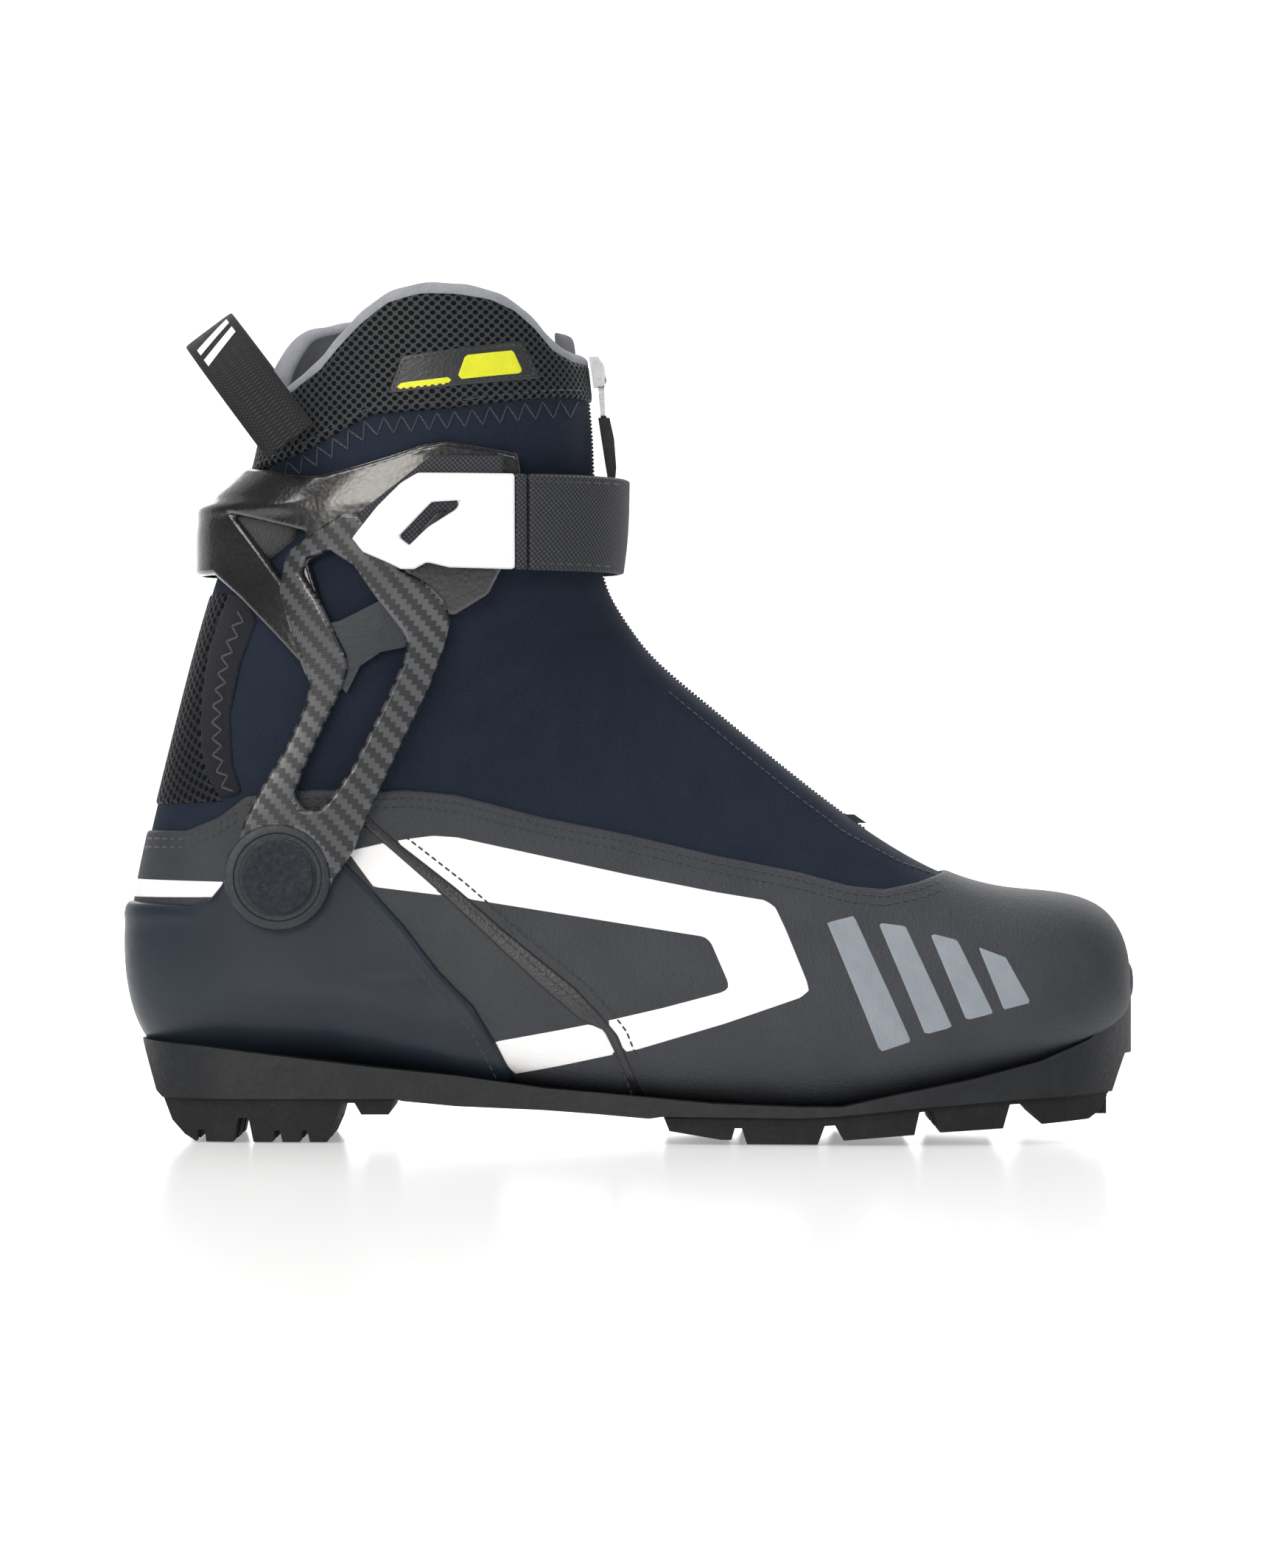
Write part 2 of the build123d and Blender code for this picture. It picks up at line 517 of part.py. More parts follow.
# ---------------------------------------------------------------- heel counter, pivots and cuff
bosses = []
for side in SIDES:
    low, high = across(side, 30, EYE_IN - 0.1)
    bosses.append(rod(PIVOT_X, PIVOT_Z, BOSS_R, low, high))
save_pair("heel_counter", counter, [counter_outline, above_sole], [pin_hole])
window = prism(ARM_WINDOW)
clear_of_eye = rod(PIVOT_X, PIVOT_Z, EYE_R - 0.5)
for side in SIDES:
    name = names[side]
    boss = bosses[SIDES.index(side)]
    save(f"pivot_boss_{name}", cut(boss, [], [boot_half(side, -COUNTER_T - 0.2), pin_hole]))
    eye = rod(PIVOT_X, PIVOT_Z, EYE_R, *across(side, EYE_IN, EYE_OUT))
    arm_plate = cut(arm[side], [arm_outline], [window, clear_of_eye])
    save(f"arm_{name}", arm_plate, cut(eye, [], [pin_hole]))
    save(f"arm_web_{name}", cut(ring[side], [prism(ARM_WEB)]))
    save(f"pivot_pin_{name}", rod(PIVOT_X, PIVOT_Z, PIN_R, *across(side, 31.6, EYE_OUT + 0.1)))
    save(f"pivot_cap_{name}", rod(PIVOT_X, PIVOT_Z, CAP_R, *across(side, EYE_OUT + 0.1, EYE_OUT + 2.3)))
save_pair("cuff_ring", ring, [prism(RING_OUTLINE)], [prism(RING_WINDOW), prism(ARM_WEB)])
pad_outline = prism([(-FAR, 169), (-110, 169), (-100, 176), (-96, 194), (-106, 196), (-FAR, 198)])
pad_halves = []
for side in SIDES:
    pad_halves.append(cut(cuff_half(side, RING_IN + 0.1), [pad_outline], [boot_half(side, -0.1)]))
save("ring_pad", *pad_halves)

# ---------------------------------------------------------------- strap
behind_peel = prism([(-FAR, 150), (PEEL_X - 0.2, 150), (PEEL_X - 0.2, 210), (-FAR, 210)])
ahead_peel = prism([(PEEL_X + 0.2, 150), (FAR, 150), (FAR, 210), (PEEL_X + 0.2, 210)])
ahead_swing = prism([(SWING_X + 0.2, 150), (FAR, 150), (FAR, 210), (SWING_X + 0.2, 210)])
save("strap_tab", cut(strap[LATERAL], [prism(TAB_OUTLINE), behind_peel]))
save(
    "strap_band",
    cut(strap[LATERAL], [strap_height, ahead_peel]),
    cut(strap[MEDIAL], [strap_height, ahead_swing]),
)
save("strap_anchor", cut(strap[MEDIAL], [prism(ANCHOR_OUTLINE)]))
pad_sides = prism([(-60, 170), (-37, 170), (-35, 192), (-66, 192), (-67, 180)])
hook = {side: cuff_wall(side, STRAP_IN + 0.1, RING_OUT - 0.1) for side in SIDES}
save("hook_pad", cut(hook[LATERAL], [pad_sides], [arm_outline]))
save("anchor_pad", cut(hook[MEDIAL], [pad_sides], [arm_outline]))
strap_face = cuff_half(MEDIAL, STRAP_OUT - 0.05)
for k, z in enumerate((174, 188)):
    save(f"anchor_rivet_{k + 1}", cut(rod(-44, z, 3.2, 40, 48.4), [], [strap_face]))

# ---------------------------------------------------------------- pull loop and collar label
ALONG = Vector(-0.6, 0, 0.8)
WIDTH = Vector(0.8, 0, 0.6)
loop_plane = Plane(origin=(-91.5 - 6.8, 0, 209.5 - 5.1), x_dir=ALONG, z_dir=WIDTH)
loop_side = 1 if loop_plane.y_dir.Y > 0 else -1
loop_path = [(0, -42.6), (18, -38), (36, -24), (42.5, -10), (40, 2), (30, 12), (20, 15)]
with BuildPart() as pull_loop:
    with BuildSketch(loop_plane):
        with BuildLine():
            Spline(*[(a, loop_side * (b - 0.8)) for a, b in loop_path])
            Spline(*[(a - 1.1, loop_side * (b + 0.8)) for a, b in loop_path[::-1]])
            Line((0, loop_side * (loop_path[0][1] - 0.8)), (-1.1, loop_side * (loop_path[0][1] + 0.8)))
            Line((20, loop_side * (loop_path[-1][1] - 0.8)), (18.9, loop_side * (loop_path[-1][1] + 0.8)))
        make_face()
    extrude(amount=17)
save("pull_loop", pull_loop.part)
label_wall = boot_wall(LATERAL, -0.8, -0.15)
save("collar_label", cut(label_wall, [prism(LABEL_OUTLINE)]))

# ---------------------------------------------------------------- sole
outsole_plan = plan(SOLE_PLAN, -5, 60)
frame_side = [*SOLE_SEAM[1:-1], *FRAME_TOE, *FRAME_BOTTOM, *FRAME_HEEL[:2]]
frame_side = [(x, z - 0.1) for x, z in frame_side[:16]] + frame_side[16:]
insert_pocket = Pos(134, 0, 8.5) * Box(14.4, 36.4, 17)
frame = cut(
    prism(frame_side), [outsole_plan],
    [foot_core[LATERAL], foot_core[MEDIAL], insert_pocket, prism(BUMPER_OUTLINE)],
)
save("sole_frame", frame)
bumper = cut(prism(BUMPER_OUTLINE), [outsole_plan, under(SOLE_SEAM)], [foot_core[LATERAL], foot_core[MEDIAL]])
save("toe_bumper", bumper)
grooves = [prism([*GROOVE_ROOF, (118, -5), (-FAR, -5)], *across(side, 10.75, 18.25)) for side in SIDES]
tread_plan = plan([(x * 0.99, y * 0.955) for x, y in SOLE_PLAN], -5, 60)
save("heel_tread", cut(prism(HEEL_TREAD), [tread_plan], grooves))
save("forefoot_tread", cut(prism(FOREFOOT_TREAD), [tread_plan], [*grooves, insert_pocket]))
with BuildPart() as binding_insert:
    with Locations((134, 0, 12.2)):
        Box(13.6, 36, 9.2)
    with Locations((134, 0, 10.5)):
        Box(14, 24, 7.2, mode=Mode.SUBTRACT)
    add(rod(BAR_X, BAR_Z, BAR_R + 0.02), mode=Mode.SUBTRACT)
save("binding_insert", binding_insert.part)
save("binding_bar", rod(BAR_X, BAR_Z, BAR_R, -17, 17))
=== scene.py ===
"""Looks of the cross country skate boot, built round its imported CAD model, in metres.

The boot's surface is restated from the same driving sections as the CAD forms. Panels, prints, seams and
stitches are cut from it by their side-view outlines, given in millimetres as (x, z).
"""
import math

import bmesh
import bpy
import numpy as np
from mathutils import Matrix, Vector
from mathutils.bvhtree import BVHTree


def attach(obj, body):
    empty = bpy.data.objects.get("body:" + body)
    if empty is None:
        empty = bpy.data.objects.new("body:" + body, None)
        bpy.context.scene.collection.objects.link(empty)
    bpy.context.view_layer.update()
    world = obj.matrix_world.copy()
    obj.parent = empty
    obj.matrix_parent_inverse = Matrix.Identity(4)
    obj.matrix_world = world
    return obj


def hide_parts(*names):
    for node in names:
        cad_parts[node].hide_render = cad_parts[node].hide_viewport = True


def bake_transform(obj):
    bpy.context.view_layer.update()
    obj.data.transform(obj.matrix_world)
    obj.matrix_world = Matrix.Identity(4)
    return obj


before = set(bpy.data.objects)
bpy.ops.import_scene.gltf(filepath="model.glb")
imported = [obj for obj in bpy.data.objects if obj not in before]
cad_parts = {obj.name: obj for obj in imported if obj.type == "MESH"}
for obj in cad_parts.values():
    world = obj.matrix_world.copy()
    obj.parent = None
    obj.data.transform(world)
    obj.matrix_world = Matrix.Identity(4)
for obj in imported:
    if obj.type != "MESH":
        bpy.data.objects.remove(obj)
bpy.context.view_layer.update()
MM = 0.001
UV_SCALE = 0.01  # a panel's uv per mm
LATERAL, MEDIAL = -1, 1
SIDES = (LATERAL, MEDIAL)
FAR = 170.0  # past either end of the boot, in mm
FLOOR, CEILING = -30, 320
PIVOT = (-102.0, 77.5)

# ---- camera first
scene = bpy.context.scene
camera_data = bpy.data.cameras.new("Camera")
camera = bpy.data.objects.new("Camera", camera_data)
scene.collection.objects.link(camera)
DISTANCE = 1.85
AIM_X, AIM_Z = 0.0033, 0.1046
FRAME_HEIGHT = 0.4626
FRAME_DEPTH = 0.015  # how far in front of the middle plane the frame has that height
SENSOR = 24.0
camera.location = (AIM_X, -DISTANCE, AIM_Z)
camera.rotation_euler = (math.radians(90), 0, 0)
camera_data.sensor_fit = "VERTICAL"
camera_data.sensor_height = SENSOR
camera_data.lens = SENSOR * (DISTANCE - FRAME_DEPTH) / FRAME_HEIGHT
camera_data.clip_end = 20
scene.camera = camera
scene.view_settings.view_transform = "Standard"

# ---- driving sections
# top x, z; bottom x, z; outer and inner half width; shift; kind (0 toe, 1 instep, 2 shaft)
BOOT_STATIONS = [
    (148.4, 51.5, 148.4, 41, 15, 15, 7, 0),
    (146.7, 58.5, 146.7, 37, 25, 24, 7, 0),
    (142, 66.2, 142, 33.5, 34, 33, 6, 0),
    (131, 71.6, 131, 27, 42, 40, 4.5, 0),
    (113, 73.7, 112, 20, 47, 46, 2.5, 0.15),
    (93, 79.3, 88, 14.5, 49.5, 48.5, 0.5, 0.5),
    (70, 92.6, 59, 9.4, 50, 48, 0, 0.8),
    (47, 110, 28, 9.8, 47, 43, 0, 1),
    (25, 128, -5, 12.2, 43, 39, 0, 1),
    (9, 141.7, -45, 17.2, 39.5, 37, 0, 1.1),
    (1, 151.5, -92, 22.3, 37.5, 36.5, 0, 1.4),
    (-2.6, 157, -138, 27, 37, 36.5, 0, 1.7),
    (-5.2, 162, -147.6, 56, 37, 36.8, 0, 1.85),
    (-7.3, 169, -144.4, 83, 37.5, 37.3, 0, 1.95),
    (-8.4, 177.5, -137.3, 113, 38, 38, 0, 2),
    (-9, 187, -129.4, 144, 38.5, 38.5, 0, 2),
    (-9.6, 197.5, -120.8, 172, 39.8, 39.8, 0, 2),
    (-10.2, 210, -111, 200, 41, 41, 0, 2),
    (-12, 228, -108, 224, 42, 42, 0, 2),
    (-15, 254, -106, 254, 43, 43, 0, 2),
]
# height; front and back x; half width
CUFF_STATIONS = [
    (50, -12, -172, 41), (77.5, -12, -172, 41), (100, -10, -162, 41.2), (125, -8, -145, 41.6),
    (150, -6, -135, 42.6), (167, -4.3, -130.2, 43.8), (176, -3.2, -130, 44), (187, -2.6, -128, 44.4),
    (200, -2.4, -117.5, 45), (214, -2, -109.5, 45.6),
]
# shares of a section's depth and half width
TOE = [(0.03, 0.42), (0.2, 0.8), (0.5, 0.98), (0.8, 0.98), (0.965, 0.8), (0.998, 0.45)]
INSTEP = [(0.02, 0.22), (0.14, 0.42), (0.4, 0.68), (0.75, 0.97), (0.955, 0.8), (0.998, 0.42)]
SHAFT = [(0.04, 0.42), (0.2, 0.83), (0.45, 1.0), (0.72, 0.9), (0.92, 0.55), (0.985, 0.25)]
CUFF = [(0.04, 0.44), (0.2, 0.84), (0.45, 1.0), (0.72, 0.9), (0.92, 0.53), (0.985, 0.24)]
TOE_MIDDLE = np.array([148.4, 0.0, 46.3])
TOE_CAP = ((0.03, 1.3), (0.35, 1.25), (0.65, 1.0), (0.88, 0.5))  # share of the first section, reach forward


def spline(points, count, first=None, last=None):
    """count points, evenly spaced by chord length, on a smooth curve through points; ends clamped or free."""
    p = np.asarray(points, float)
    shape = p.shape
    p = p.reshape(shape[0], -1)
    chord = np.linalg.norm(np.diff(p, axis=0), axis=1) / math.sqrt(max(1, p.shape[1] // 3))
    t = np.concatenate([[0], np.cumsum(chord)])
    n = len(p)
    a = np.zeros((n, n))
    b = np.zeros_like(p)
    for i in range(1, n - 1):
        a[i, i - 1], a[i, i], a[i, i + 1] = chord[i], 2 * (chord[i - 1] + chord[i]), chord[i - 1]
        b[i] = 3 * (chord[i] * (p[i] - p[i - 1]) / chord[i - 1] + chord[i - 1] * (p[i + 1] - p[i]) / chord[i])
    a[0, 0], b[0] = 1, np.ravel(first) if first is not None else 0
    a[-1, -1], b[-1] = 1, np.ravel(last) if last is not None else 0
    if first is None:
        a[0, 0], a[0, 1], b[0] = 2, 1, 3 * (p[1] - p[0]) / chord[0]
    if last is None:
        a[-1, -1], a[-1, -2], b[-1] = 2, 1, 3 * (p[-1] - p[-2]) / chord[-1]
    m = np.linalg.solve(a, b)
    s = np.linspace(0, 1, count) * t[-1]
    k = np.clip(np.searchsorted(t, s, side="right") - 1, 0, n - 2)
    h = chord[k][:, None]
    w = ((s - t[k]) / chord[k])[:, None]
    out = (
        (2 * w**3 - 3 * w**2 + 1) * p[k] + (w**3 - 2 * w**2 + w) * h * m[k]
        + (-2 * w**3 + 3 * w**2) * p[k + 1] + (w**3 - w**2) * h * m[k + 1]
    )
    return out.reshape((len(s), *shape[1:]))


class Skin:
    """One side of a form as a fine grid: rows run along the stations, columns round the section."""

    def __init__(self, stations, side, rows, columns, closed_toe=False):
        sections = []
        for top, down, half, span, shape in stations:
            pts = [(0, 0)] + [(s * span, side * half * w) for s, w in shape] + [(span, 0)]
            flat = spline(pts, columns, (0, side), (0, -side))
            sections.append([(top[0] + down[0] * q[0], q[1], top[1] + down[1] * q[0]) for q in flat])
        grid = spline(np.array(sections), rows)
        if closed_toe:
            caps = []
            for share, out in TOE_CAP:
                cap = TOE_MIDDLE + (grid[0] - TOE_MIDDLE) * share
                cap[:, 0] = TOE_MIDDLE[0] + out
                caps.append(cap)
            grid = np.concatenate([np.array(caps), grid])
        self.side = side
        self.P = grid
        du = np.gradient(grid, axis=0)
        dv = np.gradient(grid, axis=1)
        n = np.cross(du, dv)
        n /= np.maximum(np.linalg.norm(n, axis=2, keepdims=True), 1e-9)
        mid = n[rows // 2, columns // 2]
        self.N = n if mid[1] * side > 0 else -n
        self.flip = mid[1] * side < 0
        self.N[:, 0, 1] = 0
        self.N[:, -1, 1] = 0
        u = np.concatenate([[0], np.cumsum(np.linalg.norm(np.diff(grid[:, columns // 2], axis=0), axis=1))])
        around = np.linalg.norm(np.diff(grid, axis=1), axis=2)
        v = np.concatenate([np.zeros((len(grid), 1)), np.cumsum(around, axis=1)], axis=1)
        self.UV = np.stack([np.broadcast_to(u[:, None], v.shape), v * side], axis=2)
        self.share = np.broadcast_to(np.linspace(0, 1, columns)[None, :], v.shape)
        r, c = grid.shape[:2]
        i, j = np.meshgrid(np.arange(r - 1), np.arange(c - 1), indexing="ij")
        a = (i * c + j).ravel()
        self.quads = np.stack([a, a + c, a + c + 1, a + 1], axis=1)
        self.tree = BVHTree.FromPolygons(
            [tuple(q) for q in grid.reshape(-1, 3)], [tuple(int(k) for k in q) for q in self.quads]
        )

    def at(self, x, z, lift=0.0):
        """The surface point and normal seen from the side at (x, z)."""
        where, normal, _, _ = self.tree.ray_cast(Vector((x, self.side * 200, z)), Vector((0, -self.side, 0)))
        if where is None:
            where, normal, _, _ = self.tree.find_nearest(Vector((x, self.side * 12, z)))
        if normal.y * self.side < 0:
            normal = -normal
        return where + normal * lift, normal


def boot_skin(side):
    """The boot's outer surface: each section lies across a line from the top to the bottom point."""
    stations = []
    for xt, zt, xb, zb, lateral, medial, shift, kind in BOOT_STATIONS:
        length = math.hypot(xb - xt, zb - zt)
        a, b, w = (TOE, INSTEP, kind) if kind <= 1 else (INSTEP, SHAFT, kind - 1)
        shape = [(p[0] + (q[0] - p[0]) * w, p[1] + (q[1] - p[1]) * w) for p, q in zip(a, b)]
        half = (lateral if side == LATERAL else medial) + shift * side
        stations.append(((xt, zt), ((xb - xt) / length, (zb - zt) / length), half, length, shape))
    return Skin(stations, side, rows=330, columns=150, closed_toe=True)


def cuff_skin(side):
    stations = [((front, z), (-1, 0), half, front - back, CUFF) for z, front, back, half in CUFF_STATIONS]
    return Skin(stations, side, rows=170, columns=170)


boot = {side: boot_skin(side) for side in SIDES}
cuff = {side: cuff_skin(side) for side in SIDES}


# ---- side-view fields, in mm inside an edge
def inside(outline):
    """A field that is the distance inside a closed side-view outline, negative outside."""
    ring = np.asarray(outline, float)
    nxt = np.roll(ring, -1, axis=0)

    def field(skin):
        x, z = skin.P[..., 0], skin.P[..., 2]
        best = np.full(x.shape, 1e9)
        odd = np.zeros(x.shape, bool)
        for (x0, z0), (x1, z1) in zip(ring, nxt):
            dx, dz = x1 - x0, z1 - z0
            t = np.clip(((x - x0) * dx + (z - z0) * dz) / max(dx * dx + dz * dz, 1e-9), 0, 1)
            best = np.minimum(best, np.hypot(x - x0 - t * dx, z - z0 - t * dz))
            crosses = (z0 > z) != (z1 > z)
            if z1 != z0:
                odd ^= crosses & (x < (x1 - x0) * (z - z0) / (z1 - z0) + x0)
        return np.where(odd, best, -best)

    return field


def below(edge):
    return inside([*edge, (edge[-1][0], FLOOR), (edge[0][0], FLOOR)])


def above(edge):
    return inside([*edge, (edge[-1][0], CEILING), (edge[0][0], CEILING)])


def both(*fields):
    return lambda skin: np.minimum.reduce([f(skin) for f in fields])


def without(first, *others):
    return lambda skin: np.minimum.reduce([first(skin)] + [-f(skin) for f in others])


def either(*fields):
    return lambda skin: np.maximum.reduce([f(skin) for f in fields])


def near_ridge(half, region):
    """Within half of the front middle line, in a region; the share keeps the heel's middle line out."""
    slot = inside(region)

    def field(skin):
        near = np.minimum(half - np.abs(skin.P[..., 1]), np.where(skin.share < 0.5, 5.0, -5.0))
        return np.minimum(near, slot(skin))

    return field


# ---- meshes
def new_object(name, verts, faces, uvs, material, sharp=50):
    """A smooth object from millimetre points, with edges over sharp degrees kept; uvs is one pair per point."""
    mesh = bpy.data.meshes.new(name)
    mesh.from_pydata([tuple(v) for v in np.asarray(verts) * MM], [], faces)
    if uvs is not None:
        layer = mesh.uv_layers.new(name="UVMap")
        index = np.empty(len(mesh.loops), np.int32)
        mesh.loops.foreach_get("vertex_index", index)
        layer.data.foreach_set("uv", (np.asarray(uvs)[index] * UV_SCALE).astype(np.float32).ravel())
    work = bmesh.new()
    work.from_mesh(mesh)
    bmesh.ops.remove_doubles(work, verts=work.verts, dist=2e-6)
    for face in work.faces:
        face.smooth = True
    if sharp:
        limit = math.radians(sharp)
        for edge in work.edges:
            if len(edge.link_faces) == 2 and edge.calc_face_angle(0) > limit:
                edge.smooth = False
    work.to_mesh(mesh)
    work.free()
    obj = bpy.data.objects.new(name, mesh)
    scene.collection.objects.link(obj)
    mesh.materials.append(material)
    return obj


def quads(rows, wide, start=0):
    """Quads over a grid of points, row by row."""
    corners = (start + i * wide + j for i in range(rows - 1) for j in range(wide - 1))
    return [(a, a + 1, a + wide + 1, a + wide) for a in corners]


def append_mesh(verts, faces, more_verts, more_faces):
    faces.extend([tuple(k + len(verts) for k in face) for face in more_faces])
    verts.extend(more_verts)


def split(polys, values, cuts, level, keep_low):
    """Cut polygons along the line where the value is level."""
    out = []
    made = {}
    for poly in polys:
        v = [values[k] - level for k in poly]
        if min(v) >= 0:
            out.append(poly)
            continue
        if max(v) <= 0:
            if keep_low:
                out.append(poly)
            continue
        high, low = [], []
        for a, b, va, vb in zip(poly, poly[1:] + poly[:1], v, v[1:] + v[:1]):
            if va >= 0:
                high.append(a)
            if va <= 0:
                low.append(a)
            if va * vb < 0:
                key = (min(a, b), max(a, b))
                if key not in made:
                    t = va / (va - vb)
                    if key[0] != a:
                        t = 1 - t
                    made[key] = len(values)
                    values.append(level)
                    cuts.append((key[0], key[1], t))
                high.append(made[key])
                low.append(made[key])
        if len(high) > 2:
            out.append(high)
        if keep_low and len(low) > 2:
            out.append(low)
    return out


def sheet_of(skin, field, levels=()):
    """Points, normals, surface coordinates, inside distances and faces of a skin cut by a field."""
    F = field(skin).ravel()
    q = skin.quads
    fq = F[q]
    clear = (fq > max(levels, default=0)).all(axis=1)
    whole, part = q[clear], q[(fq > 0).any(axis=1) & ~clear]
    used, back = np.unique(np.concatenate([whole.ravel(), part.ravel()]), return_inverse=True)
    whole_faces = back[: whole.size].reshape(-1, 4)
    polys = [list(map(int, p)) for p in back[whole.size:].reshape(-1, 4)]
    values = list(F[used])
    cuts = []
    polys = split(polys, values, cuts, 0.0, False)
    for level in levels:
        polys = split(polys, values, cuts, level, True)
    P, N, UV = (list(grid.reshape(-1, grid.shape[-1])[used]) for grid in (skin.P, skin.N, skin.UV))
    for a, b, t in cuts:
        for values_at in (P, N, UV):
            values_at.append(values_at[a] * (1 - t) + values_at[b] * t)
    faces = [tuple(map(int, f)) for f in whole_faces] + [tuple(p) for p in polys]
    if skin.flip:
        faces = [f[::-1] for f in faces]
    P, N, UV, V = np.array(P), np.array(N), np.array(UV), np.array(values)
    keep = sorted({k for f in faces for k in f})
    place = {k: n for n, k in enumerate(keep)}
    return P[keep], N[keep], UV[keep], V[keep], [tuple(place[k] for k in f) for f in faces]


EDGE_STEPS = (0.12, 0.45, 1.0)  # rows of points across a rounded edge


def rounded(distance, thickness, edge):
    """Height of a sheet over its base: round at its edge, flat inside."""
    t = np.clip(distance / edge, 0, 1)
    return thickness * np.sqrt(np.clip(1 - (1 - t) ** 2, 0, 1))


def panel(name, skins, field, material, lift=0.0, thickness=0.0, edge=0.8, solid=0.0, relief=None, sides=SIDES):
    """A panel cut from the skins. lift is its base height; solid gives it a back that far below its top."""
    verts, faces, uvs = [], [], []
    for side in sides:
        skin = skins[side]
        levels = [edge * step for step in EDGE_STEPS] if thickness else []
        P, N, UV, V, F = sheet_of(skin, field, levels)
        if not len(P):
            continue
        height = lift + (rounded(V, thickness, edge) if thickness else 0)
        if relief is not None:
            height = height + relief(P, V)
        start = len(verts)
        append_mesh(verts, faces, P + N * np.reshape(height, (-1, 1)), F)
        uvs.extend(UV)
        if solid:
            second = len(verts)
            append_mesh(verts, faces, P + N * (lift + thickness - solid), [f[::-1] for f in F])
            uvs.extend(UV)
            ways = dict.fromkeys(way for f in F for way in zip(f, f[1:] + f[:1]))
            for a, b in ways:
                on_ridge = abs(P[a][1]) < 1e-6 and abs(P[b][1]) < 1e-6
                if (b, a) not in ways and not on_ridge:
                    faces.append((b + start, a + start, a + second, b + second))
    return new_object(name, verts, faces, uvs, material)


def resample(points, step):
    """Points at even steps along a path."""
    pts = np.asarray(points, float)
    d = np.concatenate([[0], np.cumsum(np.linalg.norm(np.diff(pts, axis=0), axis=1))])
    count = max(2, int(round(d[-1] / step)) + 1)
    s = np.linspace(0, d[-1], count)
    return np.stack([np.interp(s, d, pts[:, k]) for k in range(pts.shape[1])], axis=1)


def round_faces(rings, sides):
    """Faces over rings of points, closed at both ends."""
    faces = []
    for k in range(0, (rings - 1) * sides, sides):
        for s in range(sides):
            t = (s + 1) % sides
            faces.append((k + s, k + t, k + sides + t, k + sides + s))
    return [*faces, tuple(range(sides))[::-1], tuple(range((rings - 1) * sides, rings * sides))]


def bar_mesh(start, end, normal, radius, flat=0.7):
    """A small rounded bar from start to end: 6 sided, with tapered ends."""
    axis = end - start
    length = axis.length
    if length < 1e-6:
        return [], []
    axis.normalize()
    across = axis.cross(normal).normalized()
    up = across.cross(axis).normalized()
    verts = []
    for s, r in ((0, 0.45), (0.16, 1.0), (0.84, 1.0), (1, 0.45)):
        centre = start + axis * (length * s)
        for a in range(6):
            angle = math.tau * a / 6
            q = centre + across * (math.cos(angle) * radius * r) + up * (math.sin(angle) * radius * r * flat)
            verts.append(tuple(q))
    return verts, round_faces(4, 6)


def threads(name, skins, runs, material, radius, lift, longest, sides):
    """A bar on each skin for every (start, end) in runs, unless the surface drops away between the two."""
    verts, faces = [], []
    for side in sides:
        for first, last in runs:
            p, n = skins[side].at(first[0], first[1], lift)
            q, _ = skins[side].at(last[0], last[1], lift)
            if (p - q).length <= longest:
                append_mesh(verts, faces, *bar_mesh(p, q, n, radius))
    return new_object(name, verts, faces, None, material)


def stitches(name, skins, lines, material, pitch=2.5, length=1.7, radius=0.27, lift=0.1, sides=SIDES):
    """Rows of stitches along side-view lines."""
    runs = []
    for line in lines:
        pts = resample(line, pitch)
        for a, b in zip(pts[:-1], pts[1:]):
            mid = (a + b) / 2
            way = (b - a) / max(np.linalg.norm(b - a), 1e-6)
            runs.append((mid - way * length / 2, mid + way * length / 2))
    return threads(name, skins, runs, material, radius, lift, 3 * length, sides)


def zigzag(line, step, width):
    pts = resample(line, step)
    out = []
    for k, p in enumerate(pts):
        a, b = pts[max(k - 1, 0)], pts[min(k + 1, len(pts) - 1)]
        way = (b - a) / max(np.linalg.norm(b - a), 1e-6)
        out.append(p + np.array([-way[1], way[0]]) * (width / 2 if k % 2 else -width / 2))
    return out


def zigzag_stitches(name, skins, line, material, lift=0.1, step=2.4, width=3.4, radius=0.34):
    pts = zigzag(line, step, width)
    return threads(name, skins, list(zip(pts[:-1], pts[1:])), material, radius, lift, 8, SIDES)


def tube(name, centres, ups, width, height, material, sides, power=2.0):
    """A tube along centres: width across, height along ups; a power over 2 squares its corners."""
    n = len(centres)
    heights = np.broadcast_to(height, n)
    verts, uvs = [], []
    travel = 0.0
    for k in range(n):
        way = centres[min(k + 1, n - 1)] - centres[max(k - 1, 0)]
        way /= max(np.linalg.norm(way), 1e-9)
        up = ups[k] - way * np.dot(ups[k], way)
        up /= max(np.linalg.norm(up), 1e-9)
        across = np.cross(way, up)
        if k:
            travel += np.linalg.norm(centres[k] - centres[k - 1])
        for s in range(sides):
            angle = math.tau * s / sides
            c, d = math.cos(angle), math.sin(angle)
            c = math.copysign(abs(c) ** (2 / power), c)
            d = math.copysign(abs(d) ** (2 / power), d)
            verts.append(centres[k] + across * (c * width / 2) + up * (d * heights[k] / 2))
            uvs.append((travel, s / sides * (width + heights[k]) * 1.6))
    return new_object(name, verts, round_faces(n, sides), uvs, material, sharp=60)


# ---- materials
def ink(r, g, b):
    """A linear colour from its 8 bit screen value."""
    return tuple(((v / 255 + 0.055) / 1.055) ** 2.4 if v > 10 else v / 255 / 12.92 for v in (r, g, b)) + (1.0,)


